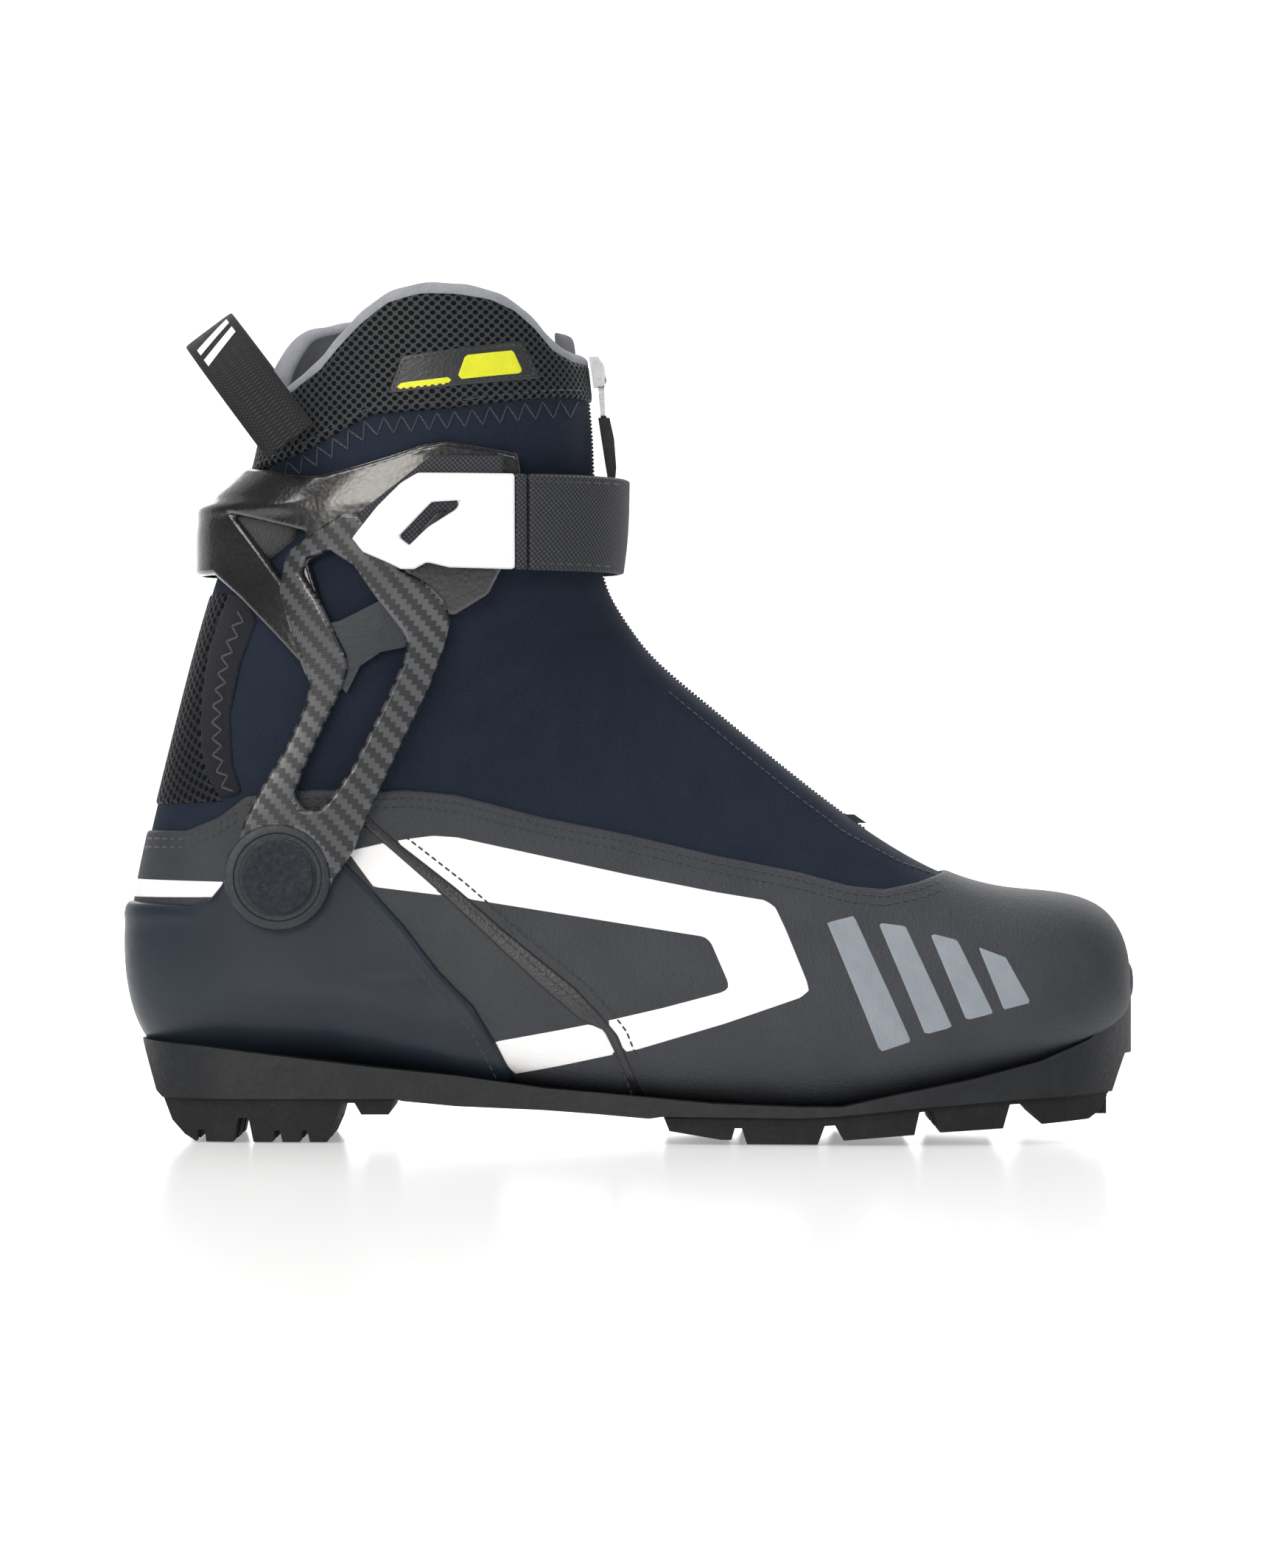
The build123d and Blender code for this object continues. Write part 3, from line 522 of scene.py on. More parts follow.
class Look:
    """A procedural material. Lengths are in millimetres: uv for sheets, object space for CAD parts."""

    def __init__(self, name, colour, rough, space="UV", **fixed):
        self.material = bpy.data.materials.new(name)
        self.material.use_nodes = True
        self.tree = self.material.node_tree
        self.shader = self.tree.nodes["Principled BSDF"]
        self.shader.inputs["Base Color"].default_value = ink(*colour)
        self.shader.inputs["Roughness"].default_value = rough
        for key, value in fixed.items():
            self.shader.inputs[key.replace("_", " ")].default_value = value
        scale = self.node("VectorMath", Vector=self.node("TexCoord").outputs[space])
        scale.operation = "SCALE"
        scale.inputs["Scale"].default_value = 1 / (UV_SCALE if space == "UV" else MM)
        self.at = scale.outputs[0]
        self.x, self.y, self.z = self.node("SeparateXYZ", Vector=self.at).outputs

    def feed(self, socket, value):
        if isinstance(value, bpy.types.NodeSocket):
            self.tree.links.new(value, socket)
        else:
            socket.default_value = value

    def node(self, kind, **inputs):
        node = self.tree.nodes.new("ShaderNode" + kind)
        for key, value in inputs.items():
            self.feed(node.inputs[key.replace("_", " ")], value)
        return node

    def math(self, operation, a, b=0.0, c=0.0):
        node = self.node("Math")
        node.operation = operation
        for socket, value in zip(node.inputs, (a, b, c)):
            self.feed(socket, value)
        return node.outputs[0]

    def add(self, a, b):
        return self.math("ADD", a, b)

    def times(self, a, b):
        return self.math("MULTIPLY", a, b)

    def noise(self, size, detail=2.0, rough=0.5):
        return self.node("TexNoise", Vector=self.at, Scale=1 / size, Detail=detail, Roughness=rough).outputs["Fac"]

    def cells(self, size):
        return self.node("TexVoronoi", Vector=self.at, Scale=1 / size).outputs["Distance"]

    def sine(self, socket, pitch, shift=0.0):
        """0..1 along a coordinate with this pitch in mm."""
        angle = self.math("MULTIPLY_ADD", socket, math.tau / pitch, shift)
        return self.math("MULTIPLY_ADD", self.math("SINE", angle), 0.5, 0.5)

    def ramp(self, value, low, high):
        return self.node("MapRange", Value=value, From_Min=low, From_Max=high).outputs["Result"]

    def paint(self, value, a, b):
        """Base colour from a, where value is 0, to b, where it is 1."""
        node = self.node("Mix")
        node.data_type = "RGBA"
        for socket, mixed in zip((node.inputs["Factor"], node.inputs[6], node.inputs[7]), (value, ink(*a), ink(*b))):
            self.feed(socket, mixed)
        self.tree.links.new(node.outputs[2], self.shader.inputs["Base Color"])

    def sheen_of(self, value, low, high):
        """Roughness between low and high by value."""
        self.feed(self.shader.inputs["Roughness"], self.math("MULTIPLY_ADD", value, high - low, low))

    def bump(self, height, depth):
        node = self.node("Bump", Strength=1.0, Distance=depth * MM, Height=height)
        self.tree.links.new(node.outputs[0], self.shader.inputs["Normal"])


def synthetic():
    """Matte coated microfibre with a fine grain."""
    look = Look("upper_synthetic", (40, 40, 42), 0.62, Specular_IOR_Level=0.3)
    grain = look.cells(0.75)
    look.paint(look.noise(18, 3), (44, 46, 50), (58, 61, 66))
    look.sheen_of(look.noise(0.9, 2), 0.5, 0.72)
    look.bump(look.add(grain, look.times(look.noise(2.5, 4), 0.6)), 0.16)
    return look.material


def softshell():
    """Stretch fabric: a fine knit in very dark navy."""
    look = Look("softshell_fabric", (20, 24, 36), 0.85, Specular_IOR_Level=0.15)
    knit = look.times(look.sine(look.x, 0.62), look.sine(look.y, 0.55))
    look.paint(look.math("MULTIPLY_ADD", look.noise(14, 3), 0.5, look.times(knit, 0.5)), (21, 27, 40), (36, 46, 62))
    look.sheen_of(knit, 0.72, 0.92)
    look.bump(look.add(knit, look.noise(5, 3)), 0.14)
    return look.material


def hex_mesh(name="mesh_fabric", colour=(50, 54, 57), hole=(8, 8, 9), size=2.7):
    """Open spacer mesh: rows of round holes set in turn."""
    look = Look(name, colour, 0.75, Specular_IOR_Level=0.15)
    a = look.times(look.sine(look.x, size), look.sine(look.y, size * 1.15))
    b = look.times(look.sine(look.x, size, math.pi), look.sine(look.y, size * 1.15, math.pi))
    dots = look.ramp(look.math("MAXIMUM", a, b), 0.42, 0.62)
    look.paint(dots, colour, hole)
    look.sheen_of(dots, 0.5, 0.95)
    look.bump(look.math("SUBTRACT", 1.0, dots), 0.5)
    return look.material


def fleece(name="fleece_lining", deep=(66, 67, 73), pale=(124, 126, 132)):
    look = Look(name, (88, 90, 96), 0.95, Sheen_Weight=0.15, Sheen_Roughness=0.6)
    fuzz = look.noise(0.8, 5, 0.7)
    look.paint(look.math("MULTIPLY_ADD", look.noise(6, 3), 0.5, look.times(fuzz, 0.5)), deep, pale)
    look.bump(fuzz, 0.7)
    return look.material


def counter_gloss():
    look = Look("counter_tpu", (38, 46, 56), 0.36, Specular_IOR_Level=0.26, Coat_Weight=0.05, Coat_Roughness=0.2)
    look.paint(look.noise(25, 3), (28, 34, 43), (38, 46, 56))
    look.sheen_of(look.noise(3, 4), 0.34, 0.5)
    look.bump(look.add(look.noise(6, 3), look.times(look.noise(0.6), 0.25)), 0.12)
    return look.material


def cuff_gloss():
    """Pebbled gloss plastic."""
    look = Look("cuff_plastic", (21, 21, 24), 0.26, Specular_IOR_Level=0.6, Coat_Weight=0.6, Coat_Roughness=0.1)
    look.paint(look.noise(10, 2), (17, 17, 20), (29, 28, 30))
    look.sheen_of(look.noise(2, 3), 0.2, 0.36)
    look.bump(look.cells(1.5), 0.07)
    return look.material


def carbon():
    """2 x 2 twill under clear resin; the lighter warp tows are a painted sheen on the weave."""
    look = Look("carbon_composite", (22, 22, 24), 0.32, Coat_Weight=0.25, Coat_Roughness=0.1, Specular_IOR_Level=0.4)
    tow = 1.6
    u = look.math("FLOOR", look.math("DIVIDE", look.x, tow))
    v = look.math("FLOOR", look.math("DIVIDE", look.y, tow))
    turn = look.math("FLOORED_MODULO", look.add(u, v), 4.0)
    warp = look.math("LESS_THAN", turn, 2.0)
    weft = look.math("SUBTRACT", 1.0, warp)
    fibres = look.add(look.times(warp, look.sine(look.y, 0.8)), look.times(weft, look.sine(look.x, 0.8)))
    # The warp tows are painted lighter than the weft: a painted sheen of the twill.
    look.paint(warp, (22, 23, 25), (72, 74, 78))
    look.sheen_of(warp, 0.45, 0.2)
    look.bump(look.add(fibres, look.times(warp, 1.2)), 0.02)
    return look.material


def webbing(name="strap_fabric", dark=(30, 31, 35), light=(66, 68, 74), pitch=1.5):
    look = Look(name, dark, 0.75, Sheen_Weight=0.05, Sheen_Roughness=0.4, Specular_IOR_Level=0.3)
    weave = look.math("ABSOLUTE", look.math("SUBTRACT", look.sine(look.x, pitch), look.sine(look.y, pitch)))
    look.paint(weave, dark, light)
    look.sheen_of(weave, 0.85, 0.55)
    look.bump(look.add(weave, look.times(look.noise(0.9, 3), 0.4)), 0.2)
    return look.material


def print_ink(name, colour, darker, rough=0.5):
    look = Look(name, colour, rough)
    look.paint(look.ramp(look.noise(7, 4), 0.3, 0.75), colour, darker)
    look.sheen_of(look.noise(1.2, 3), rough - 0.08, rough + 0.1)
    look.bump(look.add(look.cells(0.75), look.noise(3, 3)), 0.07)
    return look.material


def thread(name, colour):
    look = Look(name, colour, 0.65, "Object", Sheen_Weight=0.3)
    look.paint(look.noise(2, 2), colour, [max(0, int(c * 0.75)) for c in colour])
    look.bump(look.sine(look.add(look.x, look.z), 0.35), 0.08)
    return look.material


def rubber(name, colour, rough=0.72, grain=0.9):
    look = Look(name, colour, rough, "Object", Specular_IOR_Level=0.35)
    look.paint(look.ramp(look.noise(9, 5, 0.6), 0.45, 0.8), colour, [c + 12 for c in colour])
    look.sheen_of(look.noise(1.5, 3), rough - 0.14, rough + 0.12)
    look.bump(look.noise(grain, 3), 0.14)
    return look.material


def metal(name, colour, rough):
    look = Look(name, colour, rough, "Object", Metallic=1.0)
    look.paint(look.noise(3, 4), colour, [int(c * 0.82) for c in colour])
    look.sheen_of(look.noise(1.0, 3), rough - 0.08, rough + 0.12)
    look.bump(look.noise(0.5, 2), 0.03)
    return look.material


def foam(name, colour):
    look = Look(name, colour, 0.92, "Object", Sheen_Weight=0.3)
    look.paint(look.noise(1.2, 4), colour, [c + 22 for c in colour])
    look.bump(look.cells(0.9), 0.35)
    return look.material


SYNTHETIC, SOFTSHELL, FLEECE = synthetic(), softshell(), fleece()
RIM_FLEECE = fleece("collar_fleece", (96, 99, 106), (176, 179, 186))
MESH = hex_mesh()
BACK_MESH = hex_mesh("mesh_back", (34, 37, 42), (8, 8, 10), 2.9)
COUNTER, RING, CARBON = counter_gloss(), cuff_gloss(), carbon()
WEBBING = webbing()
NAVY_TAPE = webbing("seam_tape", (9, 11, 18), (16, 20, 31), 0.9)
LOOP_TAPE = webbing("loop_tape", (14, 15, 17), (36, 37, 40), 1.2)
WHITE = print_ink("print_white", (238, 238, 239), (232, 232, 234), 0.45)
GREY = print_ink("print_grey", (134, 141, 149), (124, 131, 139), 0.45)
STRAP_WHITE = print_ink("strap_print", (236, 236, 237), (230, 230, 232), 0.42)
YELLOW = print_ink("label_yellow", (214, 215, 30), (198, 200, 24), 0.5)
BAND = print_ink("band_tpu", (28, 29, 32), (38, 39, 43), 0.4)
DARK_THREAD = thread("dark_thread", (30, 31, 35))
NAVY_THREAD = thread("navy_thread", (34, 38, 48))
SOLE = rubber("sole_plastic", (21, 23, 27), 0.55, 1.4)
TREAD = rubber("tread_rubber", (19, 19, 20), 0.75, 0.9)
BUMPER = rubber("bumper_rubber", (52, 53, 56), 0.7, 1.0)
HARDWARE = rubber("moulded_black", (33, 38, 44), 0.42, 1.1)
CAP = rubber("cap_gloss", (22, 29, 37), 0.24, 2.4)
GRIP = rubber("grip_rubber", (20, 20, 22), 0.6, 0.8)
STEEL = metal("steel", (176, 178, 182), 0.3)
ZIP_METAL = metal("zip_metal", (188, 190, 196), 0.28)
PAD = foam("pad_foam", (34, 35, 38))
BED = foam("footbed_felt", (58, 60, 66))


# ---- outlines (x, z) in mm
SOLE_SEAM = [
    (-FAR, 32), (-144, 29.5), (-125, 28), (-100, 25), (-75, 22), (-50, 19.5), (-25, 16), (0, 14), (25, 11.8),
    (50, 11), (62, 11), (75, 14), (100, 19), (120, 24), (135, 30), (145, 38), (149, 41.5), (FAR, 58),
]
UPPER_EDGE = [
    (-FAR, 98), (-143, 91), (-130, 91), (-120, 95), (-112, 101), (-92, 103), (-72, 102.5), (-65, 103),
    (-50, 101.5), (-25, 95), (0, 90), (25, 84), (50, 79), (65, 75), (75, 74), (85, 76), (92, 78.5), (99, 82),
    (FAR, 82),
]
COLLAR_SEAM = [(-FAR, 190), (-112, 196), (-95, 202), (-75, 212), (-50, 214), (-20, 218), (FAR, 219)]
COLLAR_FRONT = [
    (-70, 245), (-60, 247.6), (-50, 247.4), (-40, 246), (-33, 243), (-27, 238), (-22, 232), (-16, 229), (FAR, 229),
]
COLLAR_EDGE = {
    LATERAL: [(-FAR, 213), (-109, 213), (-90, 226), (-85, 232), (-78, 239), *COLLAR_FRONT],
    MEDIAL: [(-FAR, 213), (-109, 213), (-106, 228), (-100, 238), (-85, 241.5), *COLLAR_FRONT],
}
RING_OUTLINE = [
    (-FAR, 200.5), (-115, 200), (-105, 197.5), (-98, 196), (-90, 195.5), (-80, 197.5), (-70, 200), (-60, 203),
    (-53, 204), (-40, 202), (-31, 200.5), (-30, 195), (-36, 167), (-40, 159), (-50, 153), (-58, 154),
    (-66, 166.5), (-80, 169), (-87, 173.5), (-94, 169), (-90, 157), (-86, 146), (-88, 139), (-94.5, 138),
    (-105, 149), (-115, 159), (-124, 166.5), (-FAR, 167),
]
RING_WINDOW = [(-118, 184), (-101, 163), (-95, 178)]
ARM_OUTLINE = [
    (-114.5, 84), (-112.5, 92.5), (-108, 102), (-100, 115), (-94, 128), (-93, 134), (-95, 138), (-99, 150),
    (-102, 161), (-100, 172), (-93, 177), (-87, 181), (-83, 183.5), (-78, 183.5), (-66, 166.5), (-62, 165),
    (-57, 162), (-53, 158), (-51.5, 152), (-53, 145), (-58, 132), (-65, 118), (-75, 97), (-80, 85),
    (-88, 72.5), (-100, 70), (-112, 73),
]
ARM_WINDOW = [
    (-87, 172.5), (-94, 170), (-95, 166), (-90, 158), (-86, 150), (-82, 142), (-81.5, 138), (-84, 131),
    (-88, 123), (-95, 108), (-97, 101), (-94, 97), (-90, 97), (-87, 100), (-80, 110), (-70, 130), (-65, 141),
    (-64.5, 146), (-66, 149), (-73, 158), (-80, 168),
]
COUNTER_OUTLINE = [
    (-FAR, 70), (-147, 70), (-128, 69), (-122, 71), (-118, 76), (-117, 84), (-110, 92), (-97, 93), (-83, 82),
    (-75, 74), (-65, 63), (-55, 50), (-45, 40), (-39, 30), (-34, 20), (-32, 10), (-FAR, 10),
]
BAND_OUTLINE = [
    (-77, 96), (-68, 88), (-50, 74), (-35, 61), (-25, 53), (-15, 45), (-8, 37.5), (-3, 31.5), (0, 24), (5, 12.8),
    (6, 8), (2, 8), (1.5, 13), (-1, 20), (-4, 27), (-7, 33), (-14, 36), (-27, 47), (-40, 59), (-55, 73),
    (-71, 87), (-78, 93),
]
TAB_OUTLINE = [
    (-80, 176), (-73, 185), (-66, 192), (-61, 195), (-25, 195), (-25, 167), (-52, 167.5), (-58.5, 169),
    (-62, 167), (-66, 167), (-70, 169), (-77, 172),
]
TAB_HOLE = [(-66.5, 176.5), (-57, 186.5), (-49, 187), (-50, 184.5), (-58, 179.5), (-63.5, 174)]
STRAP_FRONT = [(-FAR, 167), (60, 167), (60, 195), (-FAR, 195)]
ANCHOR_OUTLINE = [(-62, 167), (-26.4, 167), (-26.4, 195), (-62, 195), (-66, 181)]
ZIP_REGION = [(66, 84), (200, 84), (200, 229.5), (-40, 229.5), (-40, 180), (0, 120), (44, 90)]
LABEL_OUTLINE = [(-70, 218), (-26, 223), (-31, 234), (-66, 229)]
FOOTBED_TOP = [
    (-FAR, 37), (-125, 35.5), (-100, 33.5), (-50, 28), (0, 23), (50, 21), (75, 22.5), (100, 27), (130, 35), (FAR, 46),
]
GRAPHIC_OUTER = [
    (-82, 85), (-71, 87.5), (-65, 88.5), (-57, 89.5), (-50, 89), (-25, 83.5), (0, 78), (25, 73), (40, 70.5),
    (43, 68.5), (46, 62), (52, 47), (52.5, 44.5), (50, 42.5), (28, 35), (3, 27.5), (-20, 22.5), (-33, 20),
    (-41, 28), (-60, 55),
]
GRAPHIC_INNER = [
    (-78, 75), (-50, 71.5), (-25, 67.5), (0, 63.5), (22, 60), (24, 58.5), (29, 47), (29, 45), (27, 44),
    (10, 39.5), (-5, 36), (-20, 33), (-46, 28.2), (-66, 52),
]
BACK_PANEL = [
    (-FAR, 161), (-118, 161), (-124, 145), (-126, 130), (-126, 115), (-123, 105), (-120, 101), (-118, 99.5),
    (-FAR, 98),
]
BACK_TAPE = [
    (-118, 161), (-124, 145), (-126, 130), (-126, 115), (-123, 105), (-119.5, 100.5), (-113, 102), (-116, 110),
    (-117, 125), (-114, 140), (-109, 152), (-112, 160),
]
BARS = [
    [(58, 64), (66, 66), (82, 30), (73, 27)], [(73, 64), (81, 63), (94, 34), (86, 32)],
    [(88, 61), (96, 59), (106, 38), (98, 36)], [(102, 57), (110, 54), (117, 41), (109, 39)],
]
HEEL_PRINT = [(-FAR, 71), (-118, 71.5), (-117.5, 76), (-FAR, 77)]
TONGUE_REGION = [(84, 70), (200, 70), (200, 238), (-46, 238), (-46, 190), (-40, 160), (0, 112), (60, 76)]
PAD_REGION = [(-FAR, 169), (-110, 169), (-100, 176), (-96, 194), (-106, 196), (-FAR, 198)]
PAD_OUTLINE = [(-67, 170), (-35, 170), (-35, 192), (-62, 192)]
HOOK_OUTLINE = [(-79, 183), (-57, 200), (-36, 200), (-36, 169), (-67, 169), (-74, 174)]
PEG = [(-62, 177), (-56, 183.5), (-52, 184.5), (-58, 178.5)]
LABEL_SHAPES = [
    [(-50, 222.2), (-31, 224.5), (-34, 231), (-47.5, 229.3)],
    [(-67.4, 219.2), (-51.5, 221.0), (-51.5, 223.0), (-66.4, 221.2)],
]
EYE_PROFILE = [
    (5.05, 38.8), (15, 38.8), (15.5, 39.2), (15.6, 40.4), (15.2, 41.1), (14.6, 41.3), (13, 41.3), (12.6, 41),
    (11.4, 41), (11.1, 41.3), (5.05, 41.3),
]  # radius, distance from the middle plane
PULL_LOOP = [(0, -42.6), (18, -38), (36, -24), (42.5, -10), (40, 2), (30, 12), (20, 15)]  # height up the loop, y


def shifted(points, dx, dz):
    return [(x + dx, z + dz) for x, z in points]


def between(points, low, high):
    return [p for p in points if low <= p[0] <= high]


def columns(low, high):
    """A field for all that lies between two x, at the height of the strap."""
    return inside([(low, 150), (high, 150), (high, 210), (low, 210)])


def pair(name):
    return f"{name}_lateral", f"{name}_medial"


def done(piece, body, slot, *nodes):
    """Puts a piece on a body, or across the ankle where body is None."""
    if body:
        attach(piece, body)
    if nodes:
        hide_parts(*nodes)
    if not body:
        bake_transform(piece)


def lay(name, body, slot, nodes, skins, field, material, **shape):
    piece = panel(name, skins, field, material, **shape)
    done(piece, body, slot, *nodes)
    return piece


def creases(P, V):
    """Shallow folds where the ankle bends."""
    near = np.exp(-(((P[:, 0] + 30) / 26) ** 2 + ((P[:, 2] - 148) / 20) ** 2))
    waves = np.sin((P[:, 2] * 0.9 - P[:, 0] * 0.45 + 4 * np.sin(P[:, 0] * 0.07)) * 0.62)
    slow = 0.3 * np.sin(P[:, 0] * 0.11 + P[:, 2] * 0.05) * np.sin(P[:, 2] * 0.09)
    return 0.32 * near * waves + slow * np.clip((P[:, 2] - 108) / 20, 0, 1) * np.clip((190 - P[:, 2]) / 15, 0, 1)


def counter_relief(P, V):
    """A slanted step, a raised shoulder moulded low on the counter and a rolled top edge."""
    x, z = P[:, 0], P[:, 2]
    across = (x + 87) * 0.868 + (35.5 - z) * -0.496
    low = np.clip((z - 24) / 4, 0, 1) * np.clip((50 - z) / 4, 0, 1)
    step = 0.45 / (1 + np.exp(-across / 0.7)) * low * np.clip((-58 - x) / 10, 0, 1)
    slope = (x + 54) * 0.62 + (z - 30) * 0.78
    shoulder = 0.35 / (1 + np.exp(slope / 0.8)) * np.clip((x + 80) / 14, 0, 1)
    top_roll = 0.5 * np.exp(-((z - 66.5) / 2.0) ** 2) * np.clip((-120 - x) / 6, 0, 1)
    return step + shoulder + top_roll


def ring_relief(P, V):
    """A ridge round the back at mid height, and a face that leans in over it."""
    ridge = 0.9 * np.exp(-((P[:, 2] - 186) / 2.2) ** 2) * np.clip((-92 - P[:, 0]) / 12, 0, 1)
    return ridge - 1.1 * np.clip((P[:, 2] - 187) / 13, 0, 1)


# ---- foot
lay("foot_upper", "boot", "upper_synthetic", pair("upper"), boot,
    both(below(UPPER_EDGE), above(shifted(SOLE_SEAM, 0, -3))), SYNTHETIC, lift=-0.6, thickness=0.9, edge=1.3)
lay("softshell_shell", None, "softshell_fabric",
    (*pair("softshell_foot"), *pair("softshell_flex"), *pair("softshell_shaft"), "softshell_heel_flex"), boot,
    without(both(above(shifted(UPPER_EDGE, 0, -15)), below(shifted(COLLAR_SEAM, 0, 2))), near_ridge(2.7, ZIP_REGION)),
    SOFTSHELL, lift=-0.9, relief=creases)
lay("heel_counter_shell", "boot", "counter_tpu", ["heel_counter"], boot,
    both(inside(COUNTER_OUTLINE), above(shifted(SOLE_SEAM, 0, -3))), COUNTER,
    lift=0.2, thickness=2.0, edge=1.8, relief=counter_relief)
lay("midfoot_band", "boot", "band_tpu", pair("midfoot_band"), boot,
    both(inside(BAND_OUTLINE), above(shifted(SOLE_SEAM, 0, -2))), BAND, lift=0.15, thickness=0.7, edge=0.7)
lay("white_graphic", "boot", None, (), boot,
    without(both(inside(GRAPHIC_OUTER), above(shifted(SOLE_SEAM, 0, -1))),
            inside(GRAPHIC_INNER), inside(COUNTER_OUTLINE), inside(BAND_OUTLINE)),
    WHITE, lift=0.24, thickness=0.16, edge=0.3)
lay("grey_bars", "boot", None, (), boot, either(*map(inside, BARS)), GREY, lift=0.24, thickness=0.14, edge=0.3)
lay("heel_print", "boot", None, (), boot, inside(HEEL_PRINT), WHITE, lift=0.26, thickness=0.16, edge=0.4)

# ---- shaft and collar
lay("back_mesh", "cuff", "mesh_fabric", (), boot, inside(BACK_PANEL), BACK_MESH, lift=-0.9, thickness=0.7, edge=1.0)
lay("back_seam_tape", "cuff", "softshell_fabric", (), boot, inside(BACK_TAPE), NAVY_TAPE,
    lift=-0.75, thickness=0.6, edge=0.6)
lay("collar_mesh", "cuff", "mesh_fabric", pair("collar"), boot,
    lambda skin: without(both(above(COLLAR_SEAM), below(COLLAR_EDGE[skin.side])), near_ridge(3.0, ZIP_REGION))(skin),
    MESH, lift=-0.8, thickness=1.3, edge=1.6)


def rim_path():
    """Points along the collar's edge, from its outer front round the back to its inner front."""
    found = []
    for side in SIDES:
        P, N, _, V, _ = sheet_of(boot[side], below(COLLAR_EDGE[side]))
        on_edge = (V < 1e-6) & (P[:, 2] > 208)
        P, N = P[on_edge], N[on_edge]
        order = np.argsort(np.arctan2(np.abs(P[:, 1]), P[:, 0] + 60))
        P, N = P[order], N[order]
        keep = (np.abs(P[:, 1]) > 3.2) | (P[:, 0] < -60)
        pts = resample(np.hstack([P[keep], N[keep]]), 2.0)
        found.append(pts if side == LATERAL else pts[::-1])
    path = np.vstack(found)
    for _ in range(6):
        path[1:-1] = (path[:-2] + 2 * path[1:-1] + path[2:]) / 4
    path = resample(path, 1.6)
    return path[:, :3], path[:, 3:]


rim_points, rim_normals = rim_path()
centres = rim_points - rim_normals * 3.0
centres[:, 2] += 0.6
ups = np.tile(np.array([0.0, 0.0, 1.0]), (len(centres), 1))
rim_heights = 5.0 + 0.25 * np.sin(np.arange(len(centres)) * 0.9)
rim = tube("collar_rim", centres, ups, 6.6, rim_heights, RIM_FLEECE, sides=20)
done(rim, "cuff", "fleece_lining")

lay("inner_lining", None, "fleece_lining",
    (*pair("lining_foot"), *pair("lining_flex"), *pair("lining_shaft"), "lining_heel_flex"), boot,
    lambda skin: both(above(FOOTBED_TOP), below(shifted(COLLAR_EDGE[skin.side], 0, 0.4)))(skin), FLEECE, lift=-6.2)
tongue = lay("tongue_pad", None, "fleece_lining", ["tongue"], boot, near_ridge(20, TONGUE_REGION), FLEECE,
             lift=-4.4, thickness=1.2, edge=3.0, solid=1.2)
ring_cushion = lay("ring_cushion", "cuff", "pad_foam", ["ring_pad"], cuff, inside(PAD_REGION), PAD,
                   lift=-5.0, thickness=1.4, edge=6.0, solid=6.2)


def footbed_cushion():
    """A closed insole: crowned along its middle, rolled down at its rim."""
    verts, faces, uvs = [], [], []
    stations, across = np.linspace(-132, 127, 88), np.linspace(-1, 1, 29)
    heights = np.interp(stations, [p[0] for p in FOOTBED_TOP], [p[1] for p in FOOTBED_TOP])
    for depth in (0.0, 4.2):
        for x, z in zip(stations, heights):
            left, right = (boot[side].at(x, z, -7.3)[0].y for side in SIDES)
            taper = min(1.0, math.sqrt(max(0.0, 1 - abs((x + 2.5) / 129.6) ** 12)) + 0.02)
            for s in across:
                roll = 1.1 * abs(s) ** 10 + 1.6 * (1 - taper)
                y = (right if s > 0 else -left) * s * (0.75 + 0.25 * taper)
                verts.append((x, y, z - 0.1 - depth - (roll if depth == 0 else -roll)))
                uvs.append((x, y))
    wide, count = len(across), len(across) * len(stations)
    for upper, lower in zip(quads(len(stations), wide), quads(len(stations), wide, count)):
        faces += [upper[::-1], lower]
    ring = list(range(wide)) + [i * wide + wide - 1 for i in range(1, len(stations))]
    ring += [count - 1 - j for j in range(1, wide)] + [i * wide for i in range(len(stations) - 2, 0, -1)]
    for a, b in zip(ring, ring[1:] + ring[:1]):
        faces.append((a, b, b + count, a + count))
    return new_object("footbed_cushion", verts, faces, uvs, BED)


insole = footbed_cushion()
done(insole, "boot", "footbed_foam", "footbed")

# ---- zip
lay("zip_tape", None, "webbing", pair("zip_tape"), boot, near_ridge(8.0, ZIP_REGION), LOOP_TAPE, lift=-1.6)


def zip_teeth():
    """Teeth set in turn along the front middle line."""
    skin = boot[LATERAL]
    P, N = skin.P[:, 0], skin.N[:, 0]
    pick = (P[:, 2] >= 92) & (P[:, 2] <= 228) & (P[:, 0] < 100)
    path = resample(np.hstack([P[pick] - N[pick], N[pick]]), 1.15)
    verts, faces = [], []
    for k, row in enumerate(path):
        side = 1 if k % 2 else -1
        a, b = (Vector(row[:3]) + Vector((0, side * y, 0)) for y in (-0.45, 1.9))
        append_mesh(verts, faces, *bar_mesh(a, b, Vector(row[3:]), 0.5, 1.1))
    return new_object("zip_teeth_rows", verts, faces, None, HARDWARE)


done(zip_teeth(), None, "zip_plastic", "zip_teeth")

# ---- cuff
lay("cuff_ring_shell", "cuff", "cuff_plastic", ["cuff_ring"], cuff, without(inside(RING_OUTLINE), inside(RING_WINDOW)),
    RING, lift=-3.5, thickness=2.0, edge=1.3, solid=2.0, relief=ring_relief)


def arm_field(skin):
    """The arms, cut away round the pivot, where the turned eye takes over."""
    hole = np.hypot(skin.P[..., 0] - PIVOT[0], skin.P[..., 2] - PIVOT[1]) - 14.6
    return np.minimum(without(inside(ARM_OUTLINE), inside(ARM_WINDOW))(skin), hole)


lay("cuff_arms", "cuff", "carbon_composite", pair("arm"), cuff, arm_field, CARBON,
    lift=-1.4, thickness=2.0, edge=1.0, solid=2.0)


